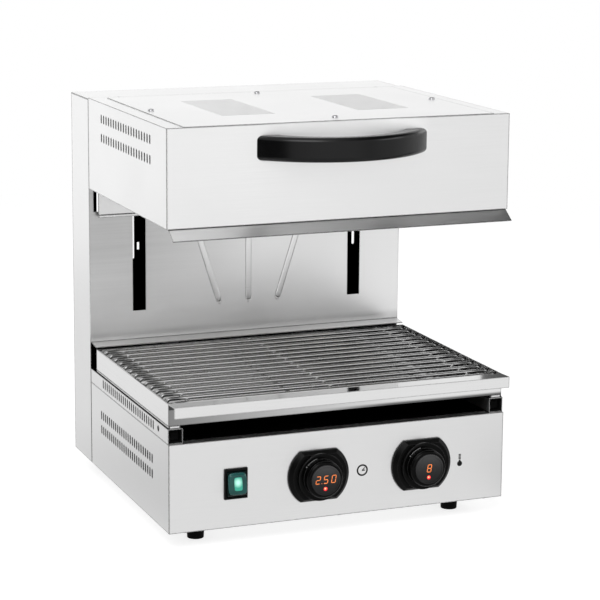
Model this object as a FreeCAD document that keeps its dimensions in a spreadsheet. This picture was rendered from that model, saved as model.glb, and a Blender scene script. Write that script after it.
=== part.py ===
import FreeCAD, Part
import math
import os
import Sketcher

# Salamander grill with a lifting hood, in millimetres, +Z up.
# X runs across the machine, -Y is the side with the controls, and Z = 0 is the surface it stands on.
# The pieces are drawn about the column's front face and the underside of the base,
# and every piece is then placed by the same shift, which brings the middle of the footprint to the origin.

doc = FreeCAD.newDocument("salamander_grill")
sheet = doc.addObject("Spreadsheet::Sheet", "sizes")

# Driving sizes
driving = (
    # housing
    ("body_width", 475),
    ("base_height", 118),
    ("base_depth", 348),
    ("hood_depth", 344),
    ("hood_height", 127.5),
    ("hood_raise", 277.5),
    ("column_depth", 85),
    ("column_drop", 1.5),
    ("skin", 1.2),
    ("seam", 0.5),
    ("rear_seam", 0.8),
    ("clearance", 0.3),
    ("flange_width", 15),
    ("foot_height", 25),
    ("foot_diameter", 25),
    ("foot_taper", 1.5),
    ("foot_inset", 53.5),
    ("foot_front", 52),
    ("foot_rear", 40),
    ("stud_diameter", 6),
    ("stud_length", 9),
    ("stud_clearance", 0.2),
    ("nut_width", 10),
    ("nut_height", 4),
    # vent slots
    ("vent_width", 4),
    ("base_vent_height", 11.8),
    ("base_vent_pitch", 9.5),
    ("base_vent_count", 25),
    ("base_vent_end", 50.6),
    ("base_vent_upper", 82.2),
    ("base_vent_lower", 61.6),
    ("hood_vent_height", 11.5),
    ("hood_vent_pitch", 11.24),
    ("hood_vent_count", 20),
    ("hood_vent_end", 62.5),
    ("hood_vent_upper", 22.2),
    ("hood_vent_lower", 48.2),
    ("top_vent_width", 3),
    ("top_vent_length", 76),
    ("top_vent_pitch", 10),
    ("top_vent_count", 17),
    ("top_vent_rear", 92),
    ("top_vent_place", 95.5),
    # side channels under the tray
    ("channel_size", 20),
    ("channel_wall", 1),
    ("channel_slot_height", 11.8),
    ("channel_slot_width", 3.6),
    ("channel_slot_pitch", 9.34),
    ("channel_slot_count", 25),
    ("channel_slot_end", 60),
    ("channel_slot_middle", 10.9),
    ("channel_hole", 7),
    ("channel_hole_place", 305),
    ("channel_front", 344.5),
    ("runner_height", 3.4),
    ("runner_width", 15),
    # drip tray and grate
    ("tray_side_gap", 1.5),
    ("tray_depth", 28.8),
    ("tray_front", 343),
    ("tray_rear", 24),
    ("tray_lip_reach", 23),
    ("tray_lip_height", 15),
    ("tray_lip_rise", 1),
    ("ledge_width", 13),
    ("ledge_height", 12),
    ("ledge_leg", 8),
    ("wire_diameter", 4.8),
    ("frame_wire_diameter", 6.4),
    ("frame_wire_overhang", 4),
    ("cross_wire_diameter", 4),
    ("cross_wire_overhang", 1),
    ("grate_bar_count", 14),
    ("grate_pitch", 22.8),
    ("grate_front", 335),
    ("grate_top", 53),
    ("grate_wire_inset", 11.5),
    ("grate_bend", 6),
    ("cross_wire_inset", 28.75),
    # column
    ("panel_rise", 56.5),
    ("panel_flange_reach", 22),
    ("panel_flange_drop", 2.5),
    ("arm_edge", 72.5),
    ("arm_slot_width", 19.3),
    ("arm_slot_play", 8.5),
    ("arm_slot_drop", 23),
    ("tab_slot_edge", 11.3),
    ("tab_slot_width", 10.2),
    ("tab_slot_play", 0.5),
    ("tab_slot_over", 1.5),
    ("bead_width", 6.5),
    ("bead_height", 0.5),
    ("bead_round", 0.35),
    ("bead_bottom_rise", 103),
    ("bead_top_drop", 45),
    ("bead_foot_place", 44.8),
    ("bead_lean", 0.3146),
    ("cover_slot_rise", 159),
    ("cover_slot_drop", 56.5),
    ("cover_slot_pitch", 26),
    ("cover_slot_edge", 37.5),
    ("cover_window_edge", 97.5),
    ("cover_window_rise", 11),
    ("cover_window_height", 11),
    ("cover_window_width", 3.4),
    ("screw_diameter", 4),
    ("screw_head", 7),
    ("screw_head_height", 2),
    ("screw_length", 8),
    ("screw_clearance", 0.1),
    ("cover_screw_inset", 8),
    ("cover_screw_low", 60),
    ("cover_screw_drop", 21.5),
    ("bottom_screw_edge", 23.5),
    ("bottom_screw_inset", 8),
    # lift
    ("lift_travel", 135),
    ("crossbar_front", 56),
    ("crossbar_plate", 3),
    ("crossbar_depth", 16),
    ("crossbar_height", 20),
    ("crossbar_upper_drop", 3.5),
    ("crossbar_lower_rise", 32),
    ("rail_inner", 96),
    ("rail_width", 18),
    ("rail_front", 30),
    ("rail_wall", 2),
    ("rail_bottom_rise", 12),
    ("rail_top_drop", 6.5),
    ("stop_inset", 4),
    ("stop_depth", 11),
    ("stop_height", 13),
    ("plate_front", 20),
    ("plate_thick", 3),
    ("plate_arm_margin", 9),
    ("plate_drop", 23.5),
    ("plate_height", 128),
    ("ear_place", 118),
    ("ear_thick", 3),
    ("ear_margin", 12),
    ("roller_spread", 80),
    ("roller_rise", 4.5),
    ("roller_width", 8),
    ("roller_play", 0.1),
    ("axle_diameter", 6),
    ("axle_clearance", 0.05),
    ("axle_head", 9),
    ("axle_head_height", 2),
    ("arm_width", 14),
    ("arm_wall", 2),
    ("arm_drop", 35.5),
    ("arm_height", 120),
    ("arm_bolt_margin", 18),
    ("spring_place", 45),
    ("spring_depth", 43),
    ("spring_diameter", 15),
    ("spring_wall", 1.5),
    ("spring_bottom_wall", 4),
    ("spring_length", 180),
    ("spring_gland", 10),
    ("rod_diameter", 6),
    ("rod_clearance", 0.08),
    ("rod_rise", 88.5),
    ("piston_length", 8),
    ("shelf_thick", 3),
    ("shelf_width", 24),
    ("shelf_margin", 10),
    # hood
    ("hood_flange", 42.5),
    ("hood_bottom_flange", 9.5),
    ("cover_margin", 22.5),
    ("cover_front_gap", 0.5),
    ("cover_rear", 17),
    ("cover_thick", 1),
    ("cover_screw_edge", 34),
    ("cover_screw_middle", 176.5),
    ("cover_screw_rear", 32),
    ("cover_screw_front", 316),
    ("rear_plate_back", 6.8),
    ("rear_plate_edge", 11),
    ("rear_plate_drop", 40.5),
    ("hem_thick", 3.2),
    ("hem_height", 3.5),
    ("tab_reach", 15),
    ("tab_thick", 4),
    ("tab_height", 6),
    ("tab_drop", 25.5),
    ("lip_thick", 1),
    ("lip_edge", 2),
    ("lip_reach", 17),
    ("lip_drop", 12),
    ("lip_leg", 14),
    ("reflector_rim_gap", 2.3),
    ("reflector_rim_width", 12),
    ("reflector_front", 328),
    ("reflector_rear", 22),
    ("reflector_height", 33),
    ("reflector_skin", 1),
    ("reflector_rim_reach", 5),
    ("insulation_thick", 22),
    ("insulation_margin", 6),
    ("insulation_left_margin", 46),
    ("element_diameter", 8),
    ("element_level", 11),
    ("element_margin", 36),
    ("element_pitch", 38),
    ("element_front", 308),
    ("element_rise", 24),
    ("element_bend", 14),
    ("support_thick", 2),
    ("support_inset", 36),
    ("support_play", 0.2),
    ("support_drop", 7),
    ("support_margin", 12),
    ("insulator_flange", 18),
    ("insulator_body", 13.6),
    ("insulator_flange_height", 3),
    ("insulator_length", 12),
    ("handle_half", 117.8),
    ("handle_foot_inner", 88),
    ("handle_reach", 56),
    ("handle_band", 13),
    ("handle_bottom", 81.5),
    ("handle_height", 31.6),
    ("handle_round", 6),
    ("handle_screw_place", 101),
    ("handle_screw_margin", 9),
    ("handle_screw_depth", 9),
    # controls
    ("switch_place", 147),
    ("switch_level", 58.6),
    ("bezel_width", 31.5),
    ("bezel_height", 40.5),
    ("bezel_thick", 3),
    ("rocker_width", 26),
    ("rocker_half_height", 14.5),
    ("rocker_reach", 9.5),
    ("rocker_pivot", 2.5),
    ("rocker_back", 7),
    ("rocker_tilt", 10),
    ("rocker_pin", 3),
    ("rocker_pin_length", 1),
    ("switch_wall", 1.45),
    ("switch_depth", 26),
    ("switch_tab_length", 9),
    ("timer_place", -32),
    ("level_place", 116),
    ("knob_level", 58),
    ("knob_bezel_diameter", 85),
    ("knob_bezel_height", 68),
    ("knob_bezel_thick", 8),
    ("knob_bezel_chamfer", 5),
    ("ring_wall", 5),
    ("ring_length", 17.5),
    ("ring_round", 4),
    ("collar_reach", 7),
    ("collar_length", 4.5),
    ("collar_round", 1.5),
    ("display_diameter", 40),
    ("display_reach", 28),
    ("display_recess", 0.8),
    ("display_rim", 1.6),
    ("spigot_diameter", 28),
    ("spigot_length", 12),
    ("ring_play", 0.08),
    ("mark_angle", 143),
    ("mark_width", 1.8),
    ("mark_height", 0.6),
    ("mark_gap", 1),
    ("mark_length", 1.8),
    ("encoder_diameter", 42),
    ("encoder_length", 16),
    ("encoder_board", 54),
    ("board_thick", 1.6),
    # parts inside the base
    ("power_board_edge", 40),
    ("power_board_width", 130),
    ("power_board_front", 250),
    ("power_board_length", 95),
    ("standoff_height", 6),
    ("standoff_diameter", 7),
    ("standoff_margin", 8),
    ("transformer_width", 42),
    ("transformer_length", 35),
    ("transformer_height", 32),
    ("connector_width", 40),
    ("connector_length", 12),
    ("connector_height", 14),
    ("relay_left", 40),
    ("relay_width", 62),
    ("relay_front", 250),
    ("relay_length", 45),
    ("relay_height", 24),
    ("sink_fin", 2),
    ("sink_fin_height", 20),
    ("sink_fin_count", 8),
    ("sink_fin_pitch", 8),
    ("terminal_width", 54),
    ("terminal_length", 22),
    ("terminal_height", 20),
    ("terminal_front", 20),
    ("terminal_screw_count", 5),
    ("terminal_screw_pitch", 10),
    ("terminal_screw_diameter", 5),
    ("limiter_place", 150),
    ("limiter_front", 60),
    ("limiter_diameter", 26),
    ("limiter_height", 18),
    ("limiter_button", 7),
    ("gland_edge", 87.5),
    ("gland_level", 40),
    ("gland_reach", 15),
    ("gland_nut", 22),
    ("gland_nut_length", 5),
    ("gland_thread", 16),
    ("gland_bore", 9),
    ("gland_inside", 8),
    ("lead_diameter", 5),
    ("lead_pitch", 10),
    ("lead_level", 12),
)

for row, (alias, number) in enumerate(driving, start=1):
    cell = "B%d" % row
    sheet.set("A%d" % row, alias.replace("_", " "))
    sheet.set(cell, str(number))
    sheet.setAlias(cell, alias)
doc.recompute()


class Size:
    """A length that keeps both its number and the sheet formula that gives it."""

    def __init__(self, number, formula):
        self.number = float(number)
        self.formula = formula

    def __add__(self, other):
        return joined(self, "+", other, self.number + number_of(other))

    def __radd__(self, other):
        return joined(other, "+", self, number_of(other) + self.number)

    def __sub__(self, other):
        return joined(self, "-", other, self.number - number_of(other))

    def __rsub__(self, other):
        return joined(other, "-", self, number_of(other) - self.number)

    def __mul__(self, other):
        return joined(self, "*", other, self.number * number_of(other))

    def __rmul__(self, other):
        return joined(other, "*", self, number_of(other) * self.number)

    def __truediv__(self, other):
        return joined(self, "/", other, self.number / number_of(other))

    def __neg__(self):
        return joined(0, "-", self, -self.number)


def number_of(item):
    return item.number if isinstance(item, Size) else float(item)


def formula_of(item):
    return item.formula if isinstance(item, Size) else "%.10g" % item


def joined(first, sign, second, number):
    return Size(number, "(%s %s %s)" % (formula_of(first), sign, formula_of(second)))


def root(item):
    return Size(math.sqrt(item.number), "sqrt(%s)" % item.formula)


def sine(item):
    return Size(math.sin(math.radians(item.number)), "sin(%s)" % item.formula)


def cosine(item):
    return Size(math.cos(math.radians(item.number)), "cos(%s)" % item.formula)


class Sheet:
    """Reads a size from the sheet by its alias."""

    def __getattr__(self, alias):
        return Size(sheet.get(alias), "sizes.%s" % alias)


s = Sheet()
ZERO = Size(0, "0")

# Places worked out from the driving sizes
half = s.body_width / 2
inner = half - s.skin
hood_bottom = s.base_height + s.hood_raise
hood_top = hood_bottom + s.hood_height
column_top = hood_top - s.column_drop
base_face = -s.base_depth
hood_face = -s.hood_depth
column_back = s.column_depth
floor_top = s.skin * 2
frame_shift = (s.hood_depth + s.handle_reach - s.column_depth - s.gland_reach) / 2
channel_inner = half - s.channel_size
runner_top = s.base_height + s.channel_size + s.runner_height
tray_bottom = runner_top + s.clearance
tray_top = tray_bottom + s.tray_depth
grate_top = s.base_height + s.grate_top
crossbar_upper_top = column_top - s.crossbar_upper_drop
crossbar_lower_top = s.base_height + s.crossbar_lower_rise
rail_bottom = s.base_height + s.rail_bottom_rise
rail_top = column_top - s.rail_top_drop
plate_bottom = hood_bottom - s.plate_drop
roller_lower = hood_bottom + s.roller_rise
roller_upper = roller_lower + s.roller_spread
arm_bottom = hood_bottom - s.arm_drop
rod_top = hood_bottom + s.rod_rise
panel_bottom = s.base_height + s.panel_rise
tab_bottom = hood_top - s.tab_drop
arm_slot_bottom = arm_bottom - s.lift_travel - s.arm_slot_play
arm_slot_top = hood_top - s.arm_slot_drop
tab_slot_bottom = tab_bottom - s.lift_travel - s.tab_slot_play
tab_slot_top = tab_bottom + s.tab_height + s.tab_slot_over
bead_bottom = s.base_height + s.bead_bottom_rise
bead_top = hood_top - s.bead_top_drop
cover_slot_bottom = s.base_height + s.cover_slot_rise
cover_slot_top = column_top - s.cover_slot_drop
cover_window_bottom = cover_slot_bottom + s.cover_window_rise
cover_screw_high = column_top - s.cover_screw_drop
arm_middle = half - s.arm_edge
rear_plate_half = half - s.rear_plate_edge
reflector_half = inner - s.reflector_rim_gap - s.reflector_rim_width
element_half = reflector_half - s.element_margin
cover_screw_side = half - s.cover_screw_edge
gland_place = s.gland_edge - half

nodes = []


def bind(thing, prop, size):
    thing.setExpression(prop, formula_of(size))


def origin_feature(body, role):
    for feature in body.Origin.OriginFeatures:
        if feature.Role == role:
            return feature
    raise RuntimeError("no origin feature " + role)


def keep(thing, label):
    """Names a finished sub-part and places it in the machine."""
    thing.Label = label
    bind(thing, "Placement.Base.y", frame_shift)
    bind(thing, "Placement.Base.z", s.foot_height)
    nodes.append(thing)
    return thing


# Sketch outlines
def polygon(points):
    def draw(sketch):
        first = sketch.GeometryCount
        count = len(points)
        rules = []
        for index in range(count):
            here = points[index]
            after = points[(index + 1) % count]
            start = FreeCAD.Vector(number_of(here[0]), number_of(here[1]), 0)
            end = FreeCAD.Vector(number_of(after[0]), number_of(after[1]), 0)
            sketch.addGeometry(Part.LineSegment(start, end), False)
            following = first + (index + 1) % count
            rules.append(("Coincident", (first + index, 2, following, 1), None))
        for index, (across, along) in enumerate(points):
            rules.append(("DistanceX", (-1, 1, first + index, 1), across))
            rules.append(("DistanceY", (-1, 1, first + index, 1), along))
        constrain(sketch, rules)
    return draw


def rectangle(left, right, low, high):
    return polygon(((left, low), (right, low), (right, high), (left, high)))


def circle(across, along, radius):
    def draw(sketch):
        index = sketch.GeometryCount
        centre = FreeCAD.Vector(number_of(across), number_of(along), 0)
        sketch.addGeometry(Part.Circle(centre, FreeCAD.Vector(0, 0, 1), number_of(radius)), False)
        constrain(sketch, (
            ("DistanceX", (-1, 1, index, 3), across),
            ("DistanceY", (-1, 1, index, 3), along),
            ("Radius", (index,), radius),
        ))
    return draw


def slot(start, end, radius):
    """A long hole with round ends about two centres."""
    def draw(sketch):
        first = sketch.GeometryCount
        one = FreeCAD.Vector(number_of(start[0]), number_of(start[1]), 0)
        two = FreeCAD.Vector(number_of(end[0]), number_of(end[1]), 0)
        size = number_of(radius)
        along = (two - one).normalize()
        side = FreeCAD.Vector(-along.y, along.x, 0)
        turn = math.atan2(side.y, side.x)
        up = FreeCAD.Vector(0, 0, 1)
        sketch.addGeometry(Part.LineSegment(one - side * size, two - side * size), False)
        sketch.addGeometry(Part.ArcOfCircle(Part.Circle(two, up, size), turn - math.pi, turn), False)
        sketch.addGeometry(Part.LineSegment(two + side * size, one + side * size), False)
        sketch.addGeometry(Part.ArcOfCircle(Part.Circle(one, up, size), turn, turn + math.pi), False)
        constrain(sketch, (
            ("Tangent", (first, 2, first + 1, 1), None),
            ("Tangent", (first + 1, 2, first + 2, 1), None),
            ("Tangent", (first + 2, 2, first + 3, 1), None),
            ("Tangent", (first + 3, 2, first, 1), None),
            ("DistanceX", (-1, 1, first + 1, 3), end[0]),
            ("DistanceY", (-1, 1, first + 1, 3), end[1]),
            ("DistanceX", (-1, 1, first + 3, 3), start[0]),
            ("DistanceY", (-1, 1, first + 3, 3), start[1]),
            ("Radius", (first + 1,), radius),
            ("Radius", (first + 3,), radius),
        ))
    return draw


def constrain(sketch, rules):
    """Adds constraints and binds those that have a size to the sheet."""
    for kind, places, size in rules:
        if size is None:
            sketch.addConstraint(Sketcher.Constraint(kind, *places))
            continue
        index = sketch.addConstraint(Sketcher.Constraint(kind, *places, number_of(size)))
        if isinstance(size, Size) and size.formula != "0":
            sketch.setExpression("Constraints[%d]" % index, size.formula)


# Body features: each spans low to high along the axis that its plane faces
def sketch_on(body, plane, level, outlines):
    sketch = body.newObject("Sketcher::SketchObject", body.Name + "_sketch")
    sketch.AttachmentSupport = [(origin_feature(body, plane + "_Plane"), "")]
    sketch.MapMode = "FlatFace"
    bind(sketch, "AttachmentOffset.Base.z", -level if plane == "XZ" else level)
    for outline in outlines:
        outline(sketch)
    return sketch


def pad(body, plane, low, high, *outlines):
    level = high if plane == "XZ" else low
    feature = body.newObject("PartDesign::Pad", body.Name + "_pad")
    feature.Profile = sketch_on(body, plane, level, outlines)
    bind(feature, "Length", high - low)
    return feature


def pocket(body, plane, low, high, *outlines):
    doc.recompute()
    before = body.Shape.Volume
    level = low if plane == "XZ" else high
    feature = body.newObject("PartDesign::Pocket", body.Name + "_pocket")
    feature.Profile = sketch_on(body, plane, level, outlines)
    bind(feature, "Length", high - low)
    doc.recompute()
    if body.Shape.Volume > before - 0.001:
        raise RuntimeError("nothing was cut from " + body.Name)
    return feature


def row_of(body, feature, axis, pitch, count):
    """Repeats a feature along an axis of its body."""
    pattern = body.newObject("PartDesign::LinearPattern", body.Name + "_row")
    pattern.Originals = [feature]
    pattern.Direction = (origin_feature(body, axis + "_Axis"), [""])
    pattern.Mode = "Spacing"
    bind(pattern, "Offset", pitch)
    bind(pattern, "Occurrences", count)
    body.Tip = pattern
    return pattern


def rounded(body, radius, chosen):
    """Rounds the edges that the test picks from the body as it stands."""
    doc.recompute()
    names = ["Edge%d" % (index + 1) for index, edge in enumerate(body.Shape.Edges) if chosen(edge)]
    if not names:
        raise RuntimeError("no edge to round on " + body.Name)
    base = body.Tip
    feature = body.newObject("PartDesign::Fillet", body.Name + "_fillet")
    feature.Base = (base, names)
    bind(feature, "Radius", radius)
    return feature


def new_body(name):
    return doc.addObject("PartDesign::Body", name)


# Part primitives
def box(name, across, along, up):
    thing = doc.addObject("Part::Box", name)
    for prop, axis, span in (("Length", "x", across), ("Width", "y", along), ("Height", "z", up)):
        bind(thing, prop, span[1] - span[0])
        bind(thing, "Placement.Base." + axis, span[0])
    return thing


TURNS = {
    "x": FreeCAD.Rotation(FreeCAD.Vector(0, 1, 0), 90),
    "y": FreeCAD.Rotation(FreeCAD.Vector(1, 0, 0), -90),
    "z": FreeCAD.Rotation(),
}


def rod(name, axis, base, length, radius):
    """A cylinder that runs from its base point along an axis."""
    thing = doc.addObject("Part::Cylinder", name)
    thing.Placement = FreeCAD.Placement(FreeCAD.Vector(), TURNS[axis])
    put(thing, base)
    bind(thing, "Radius", radius)
    bind(thing, "Height", length)
    return thing


def put(thing, base):
    for axis, place in zip("xyz", base):
        bind(thing, "Placement.Base." + axis, place)


def fused(name, things):
    result = doc.addObject("Part::MultiFuse", name)
    result.Shapes = list(things)
    return result


def carved(name, base, things):
    result = doc.addObject("Part::Cut", name)
    result.Base = base
    tools = list(things)
    result.Tool = tools[0] if len(tools) == 1 else fused(name + "_tools", tools)
    return result


def group(name, things):
    result = doc.addObject("Part::Compound", name)
    result.Links = list(things)
    return result


def screw(name, axis, base, turned, length=None):
    """A pan head with its shank; the base point is the face that the head sits on."""
    shank = s.screw_length if length is None else length
    spot = dict(zip("xyz", base))
    head_spot = dict(spot)
    shank_spot = dict(spot)
    if turned:
        shank_spot[axis] = spot[axis] - shank
    else:
        head_spot[axis] = spot[axis] - s.screw_head_height
    head = rod(name + "_head", axis, [head_spot[a] for a in "xyz"], s.screw_head_height, s.screw_head / 2)
    stem = rod(name + "_stem", axis, [shank_spot[a] for a in "xyz"], shank, s.screw_diameter / 2)
    return fused(name, (head, stem))


screw_hole = s.screw_diameter / 2 + s.screw_clearance

# Feet, with the stud of each through the floor and a nut on top
foot_spots = []
for side in (-1, 1):
    foot_spots.append((side * (half - s.foot_inset), s.foot_front - s.base_depth))
    foot_spots.append((side * (half - s.foot_inset), s.foot_rear))

feet = []
nuts = []
for index, (across, along) in enumerate(foot_spots):
    pad_body = doc.addObject("Part::Cone", "foot_pad_%d" % index)
    put(pad_body, (across, along, -s.foot_height))
    bind(pad_body, "Radius1", s.foot_diameter / 2 - s.foot_taper)
    bind(pad_body, "Radius2", s.foot_diameter / 2)
    bind(pad_body, "Height", s.foot_height + s.skin)
    stud = rod("foot_stud_%d" % index, "z", (across, along, ZERO), s.skin + s.stud_length, s.stud_diameter / 2)
    feet.append(fused("foot_%d" % index, (pad_body, stud)))
    hexagon = doc.addObject("Part::Prism", "nut_body_%d" % index)
    put(hexagon, (across, along, floor_top))
    hexagon.Polygon = 6
    bind(hexagon, "Circumradius", s.nut_width / math.sqrt(3))
    bind(hexagon, "Height", s.nut_height)
    bore = rod("nut_bore_%d" % index, "z", (across, along, s.skin), s.nut_height * 2,
               s.stud_diameter / 2 + s.axle_clearance)
    nuts.append(carved("nut_%d" % index, hexagon, (bore,)))
keep(group("feet", feet), "rubber_feet")

# Base floor, resting on the flanges of the walls
floor = new_body("floor")
pad(floor, "XY", s.skin, floor_top, rectangle(-inner, inner, base_face + s.skin, column_back - s.skin * 2))
pocket(floor, "XY", ZERO, floor_top + s.skin,
       *[circle(x, y, s.stud_diameter / 2 + s.stud_clearance) for x, y in foot_spots],
       *[circle(side * (half - s.bottom_screw_edge), base_face + s.bottom_screw_inset, screw_hole)
         for side in (-1, 0, 1)])
keep(floor, "base_floor")

# Base side panels: wall with a flange at the top and one at the foot
for side, word in ((-1, "left"), (1, "right")):
    panel = new_body("base_side_" + word)
    top_in = half - s.channel_size
    foot_in = half - s.flange_width
    pad(panel, "XZ", base_face + s.skin + s.seam, -s.rear_seam, polygon([(side * x, z) for x, z in (
        (half, ZERO), (half, s.base_height), (top_in, s.base_height), (top_in, s.base_height - s.skin),
        (inner, s.base_height - s.skin), (inner, s.skin), (foot_in, s.skin), (foot_in, ZERO))]))
    first = -(s.base_vent_end + s.base_vent_pitch * (s.base_vent_count - 1))
    reach = (s.base_vent_height - s.vent_width) / 2
    outlines = [slot((first, level - reach), (first, level + reach), s.vent_width / 2)
                for level in (s.base_vent_upper, s.base_vent_lower)]
    edges = (inner - s.skin, half + s.skin) if side > 0 else (-half - s.skin, -inner + s.skin)
    vents = pocket(panel, "YZ", edges[0], edges[1], *outlines)
    row_of(panel, vents, "Y", s.base_vent_pitch, s.base_vent_count)
    keep(panel, "base_side_" + word)

# Front panel of the base, with openings for the switch and the two knobs
front = new_body("front")
pad(front, "XZ", base_face, base_face + s.skin, rectangle(-half, half, ZERO, s.base_height))
flange_half = half - s.channel_size - s.clearance
pad(front, "YZ", -flange_half, flange_half,
    rectangle(base_face, base_face + s.flange_width, s.base_height - s.skin, s.base_height))
pad(front, "YZ", -flange_half, flange_half,
    rectangle(base_face, base_face + s.flange_width, ZERO, s.skin))
body_half_width = s.bezel_width / 2 - 0.8
body_half_height = s.bezel_height / 2 - 0.8
switch_middle = -s.switch_place
pocket(front, "XZ", base_face - s.skin, base_face + s.skin * 2,
       rectangle(switch_middle - body_half_width - s.clearance / 2, switch_middle + body_half_width + s.clearance / 2,
                 s.switch_level - body_half_height - s.clearance / 2,
                 s.switch_level + body_half_height + s.clearance / 2),
       circle(s.timer_place, s.knob_level, s.spigot_diameter / 2 + s.clearance),
       circle(s.level_place, s.knob_level, s.spigot_diameter / 2 + s.clearance))
pocket(front, "XY", -s.skin, s.skin * 2,
       *[circle(side * (half - s.bottom_screw_edge), base_face + s.bottom_screw_inset, screw_hole)
         for side in (-1, 0, 1)])
keep(front, "front_panel")

# Deck over the base, under the flanges and back into the column
deck = new_body("deck")
pad(deck, "XY", s.base_height - s.skin * 2, s.base_height - s.skin,
    rectangle(-inner + s.clearance, inner - s.clearance, base_face + s.skin, column_back - s.skin * 2))
pocket(deck, "XY", s.base_height - s.skin * 3, s.base_height,
       circle(gland_place, s.spring_depth, s.gland_thread / 2))
keep(deck, "base_deck")

# Square side channels, with the runner strip that carries the tray
for side, word in ((-1, "left"), (1, "right")):
    channel = new_body("channel_" + word)
    low = s.base_height
    high = s.base_height + s.channel_size
    wall = s.channel_wall
    outer_box = sorted((side * half, side * channel_inner), key=number_of)
    inner_box = sorted((side * (half - wall), side * (channel_inner + wall)), key=number_of)
    pad(channel, "XZ", -s.channel_front, -s.rear_seam, rectangle(outer_box[0], outer_box[1], low, high),
        rectangle(inner_box[0], inner_box[1], low + wall, high - wall))
    runner_out = half - s.tray_side_gap
    strip = sorted((side * runner_out, side * (runner_out - s.runner_width)), key=number_of)
    pad(channel, "XZ", -s.tray_front, -s.tray_rear, rectangle(strip[0], strip[1], high - wall / 2, runner_top))
    edges = sorted((side * (half + wall), side * (half - wall * 2)), key=number_of)
    pocket(channel, "YZ", edges[0], edges[1],
           circle(-s.channel_hole_place, low + s.channel_slot_middle + 0.6, s.channel_hole / 2))
    first = -(s.channel_slot_end + s.channel_slot_pitch * (s.channel_slot_count - 1))
    reach = (s.channel_slot_height - s.channel_slot_width) / 2
    level = low + s.channel_slot_middle
    vents = pocket(channel, "YZ", edges[0], edges[1],
                   slot((first, level - reach), (first, level + reach), s.channel_slot_width / 2))
    row_of(channel, vents, "Y", s.channel_slot_pitch, s.channel_slot_count)
    keep(channel, "side_channel_" + word)

# Drip tray: pan, front flange with its turned-down lip, and the welded ledges for the grate
tray = new_body("tray")
tray_half = half - s.tray_side_gap
tray_face = -s.tray_front
pad(tray, "XY", tray_bottom, tray_top, rectangle(-tray_half, tray_half, tray_face, -s.tray_rear))
pocket(tray, "XY", tray_bottom + s.skin, tray_top + s.skin,
       rectangle(-tray_half + s.skin, tray_half - s.skin, tray_face + s.skin, -s.tray_rear - s.skin))
lip_face = tray_face - s.tray_lip_reach
lip_top = tray_top + s.tray_lip_rise
pad(tray, "YZ", -tray_half, tray_half, polygon((
    (tray_face + s.skin, tray_top), (lip_face, lip_top), (lip_face, lip_top - s.tray_lip_height),
    (lip_face + s.skin, lip_top - s.tray_lip_height), (lip_face + s.skin, lip_top - s.skin),
    (tray_face + s.skin, tray_top - s.skin))))
ledge_top = tray_bottom + s.skin + s.ledge_height
tray_parts = [tray]
ledge_out = tray_half - s.skin
for side in (-1, 1):
    ledge = new_body("ledge_%d" % (side + 1))
    pad(ledge, "XZ", tray_face + s.skin * 2, -s.tray_rear - s.skin * 2, polygon([(side * x, z) for x, z in (
        (ledge_out, ledge_top), (ledge_out - s.ledge_width, ledge_top),
        (ledge_out - s.ledge_width, ledge_top - s.skin), (ledge_out - s.skin, ledge_top - s.skin),
        (ledge_out - s.skin, ledge_top - s.ledge_leg), (ledge_out, ledge_top - s.ledge_leg))]))
    tray_parts.append(ledge)
keep(group("tray_and_ledges", tray_parts), "tray_pan")

# Wire grate: bars across, their ends turned down to the frame wires, and cross wires under them
bar_radius = s.wire_diameter / 2
bar_level = grate_top - bar_radius
wire_radius = s.frame_wire_diameter / 2
frame_level = ledge_top + s.clearance + wire_radius
grate_half = tray_half - s.skin - s.clearance - s.grate_wire_inset / 2
bar_straight = grate_half - s.grate_bend
grate_parts = []
for index in range(int(s.grate_bar_count.number)):
    along = -s.grate_front + s.grate_pitch * index
    bar_parts = [rod("bar_%d" % index, "x", (-bar_straight, along, bar_level), bar_straight * 2, bar_radius)]
    for side in (-1, 1):
        bend = doc.addObject("Part::Torus", "bar_bend_%d_%d" % (index, side + 1))
        turn = FreeCAD.Rotation(FreeCAD.Vector(1, 0, 0), FreeCAD.Vector(0, 0, 1), FreeCAD.Vector(0, -1, 0), "XZY")
        if side < 0:
            turn = FreeCAD.Rotation(FreeCAD.Vector(0, 1, 0), -90) * turn
        bend.Placement = FreeCAD.Placement(FreeCAD.Vector(), turn)
        put(bend, (side * bar_straight, along, bar_level - s.grate_bend))
        bind(bend, "Radius1", s.grate_bend)
        bind(bend, "Radius2", bar_radius)
        bend.Angle3 = 90
        drop = bar_level - s.grate_bend - frame_level - wire_radius
        leg = rod("bar_leg_%d_%d" % (index, side + 1), "z", (side * grate_half, along, frame_level + wire_radius),
                  drop, bar_radius)
        bar_parts.extend((bend, leg))
    grate_parts.append(fused("grate_bar_%d" % index, bar_parts))
grate_length = s.grate_pitch * (s.grate_bar_count - 1)
for side in (-1, 1):
    grate_parts.append(rod("side_wire_%d" % (side + 1), "y",
                           (side * grate_half, -s.grate_front - s.frame_wire_overhang, frame_level),
                           grate_length + s.frame_wire_overhang * 2, wire_radius))
cross_radius = s.cross_wire_diameter / 2
cross_level = bar_level - bar_radius - cross_radius
for index in (-1, 0, 1):
    grate_parts.append(rod("cross_wire_%d" % (index + 1), "y",
                           (index * (grate_half - s.cross_wire_inset), -s.grate_front - s.cross_wire_overhang, cross_level),
                           grate_length + s.cross_wire_overhang * 2, cross_radius))
keep(group("grate", grate_parts), "wire_grate")

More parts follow.
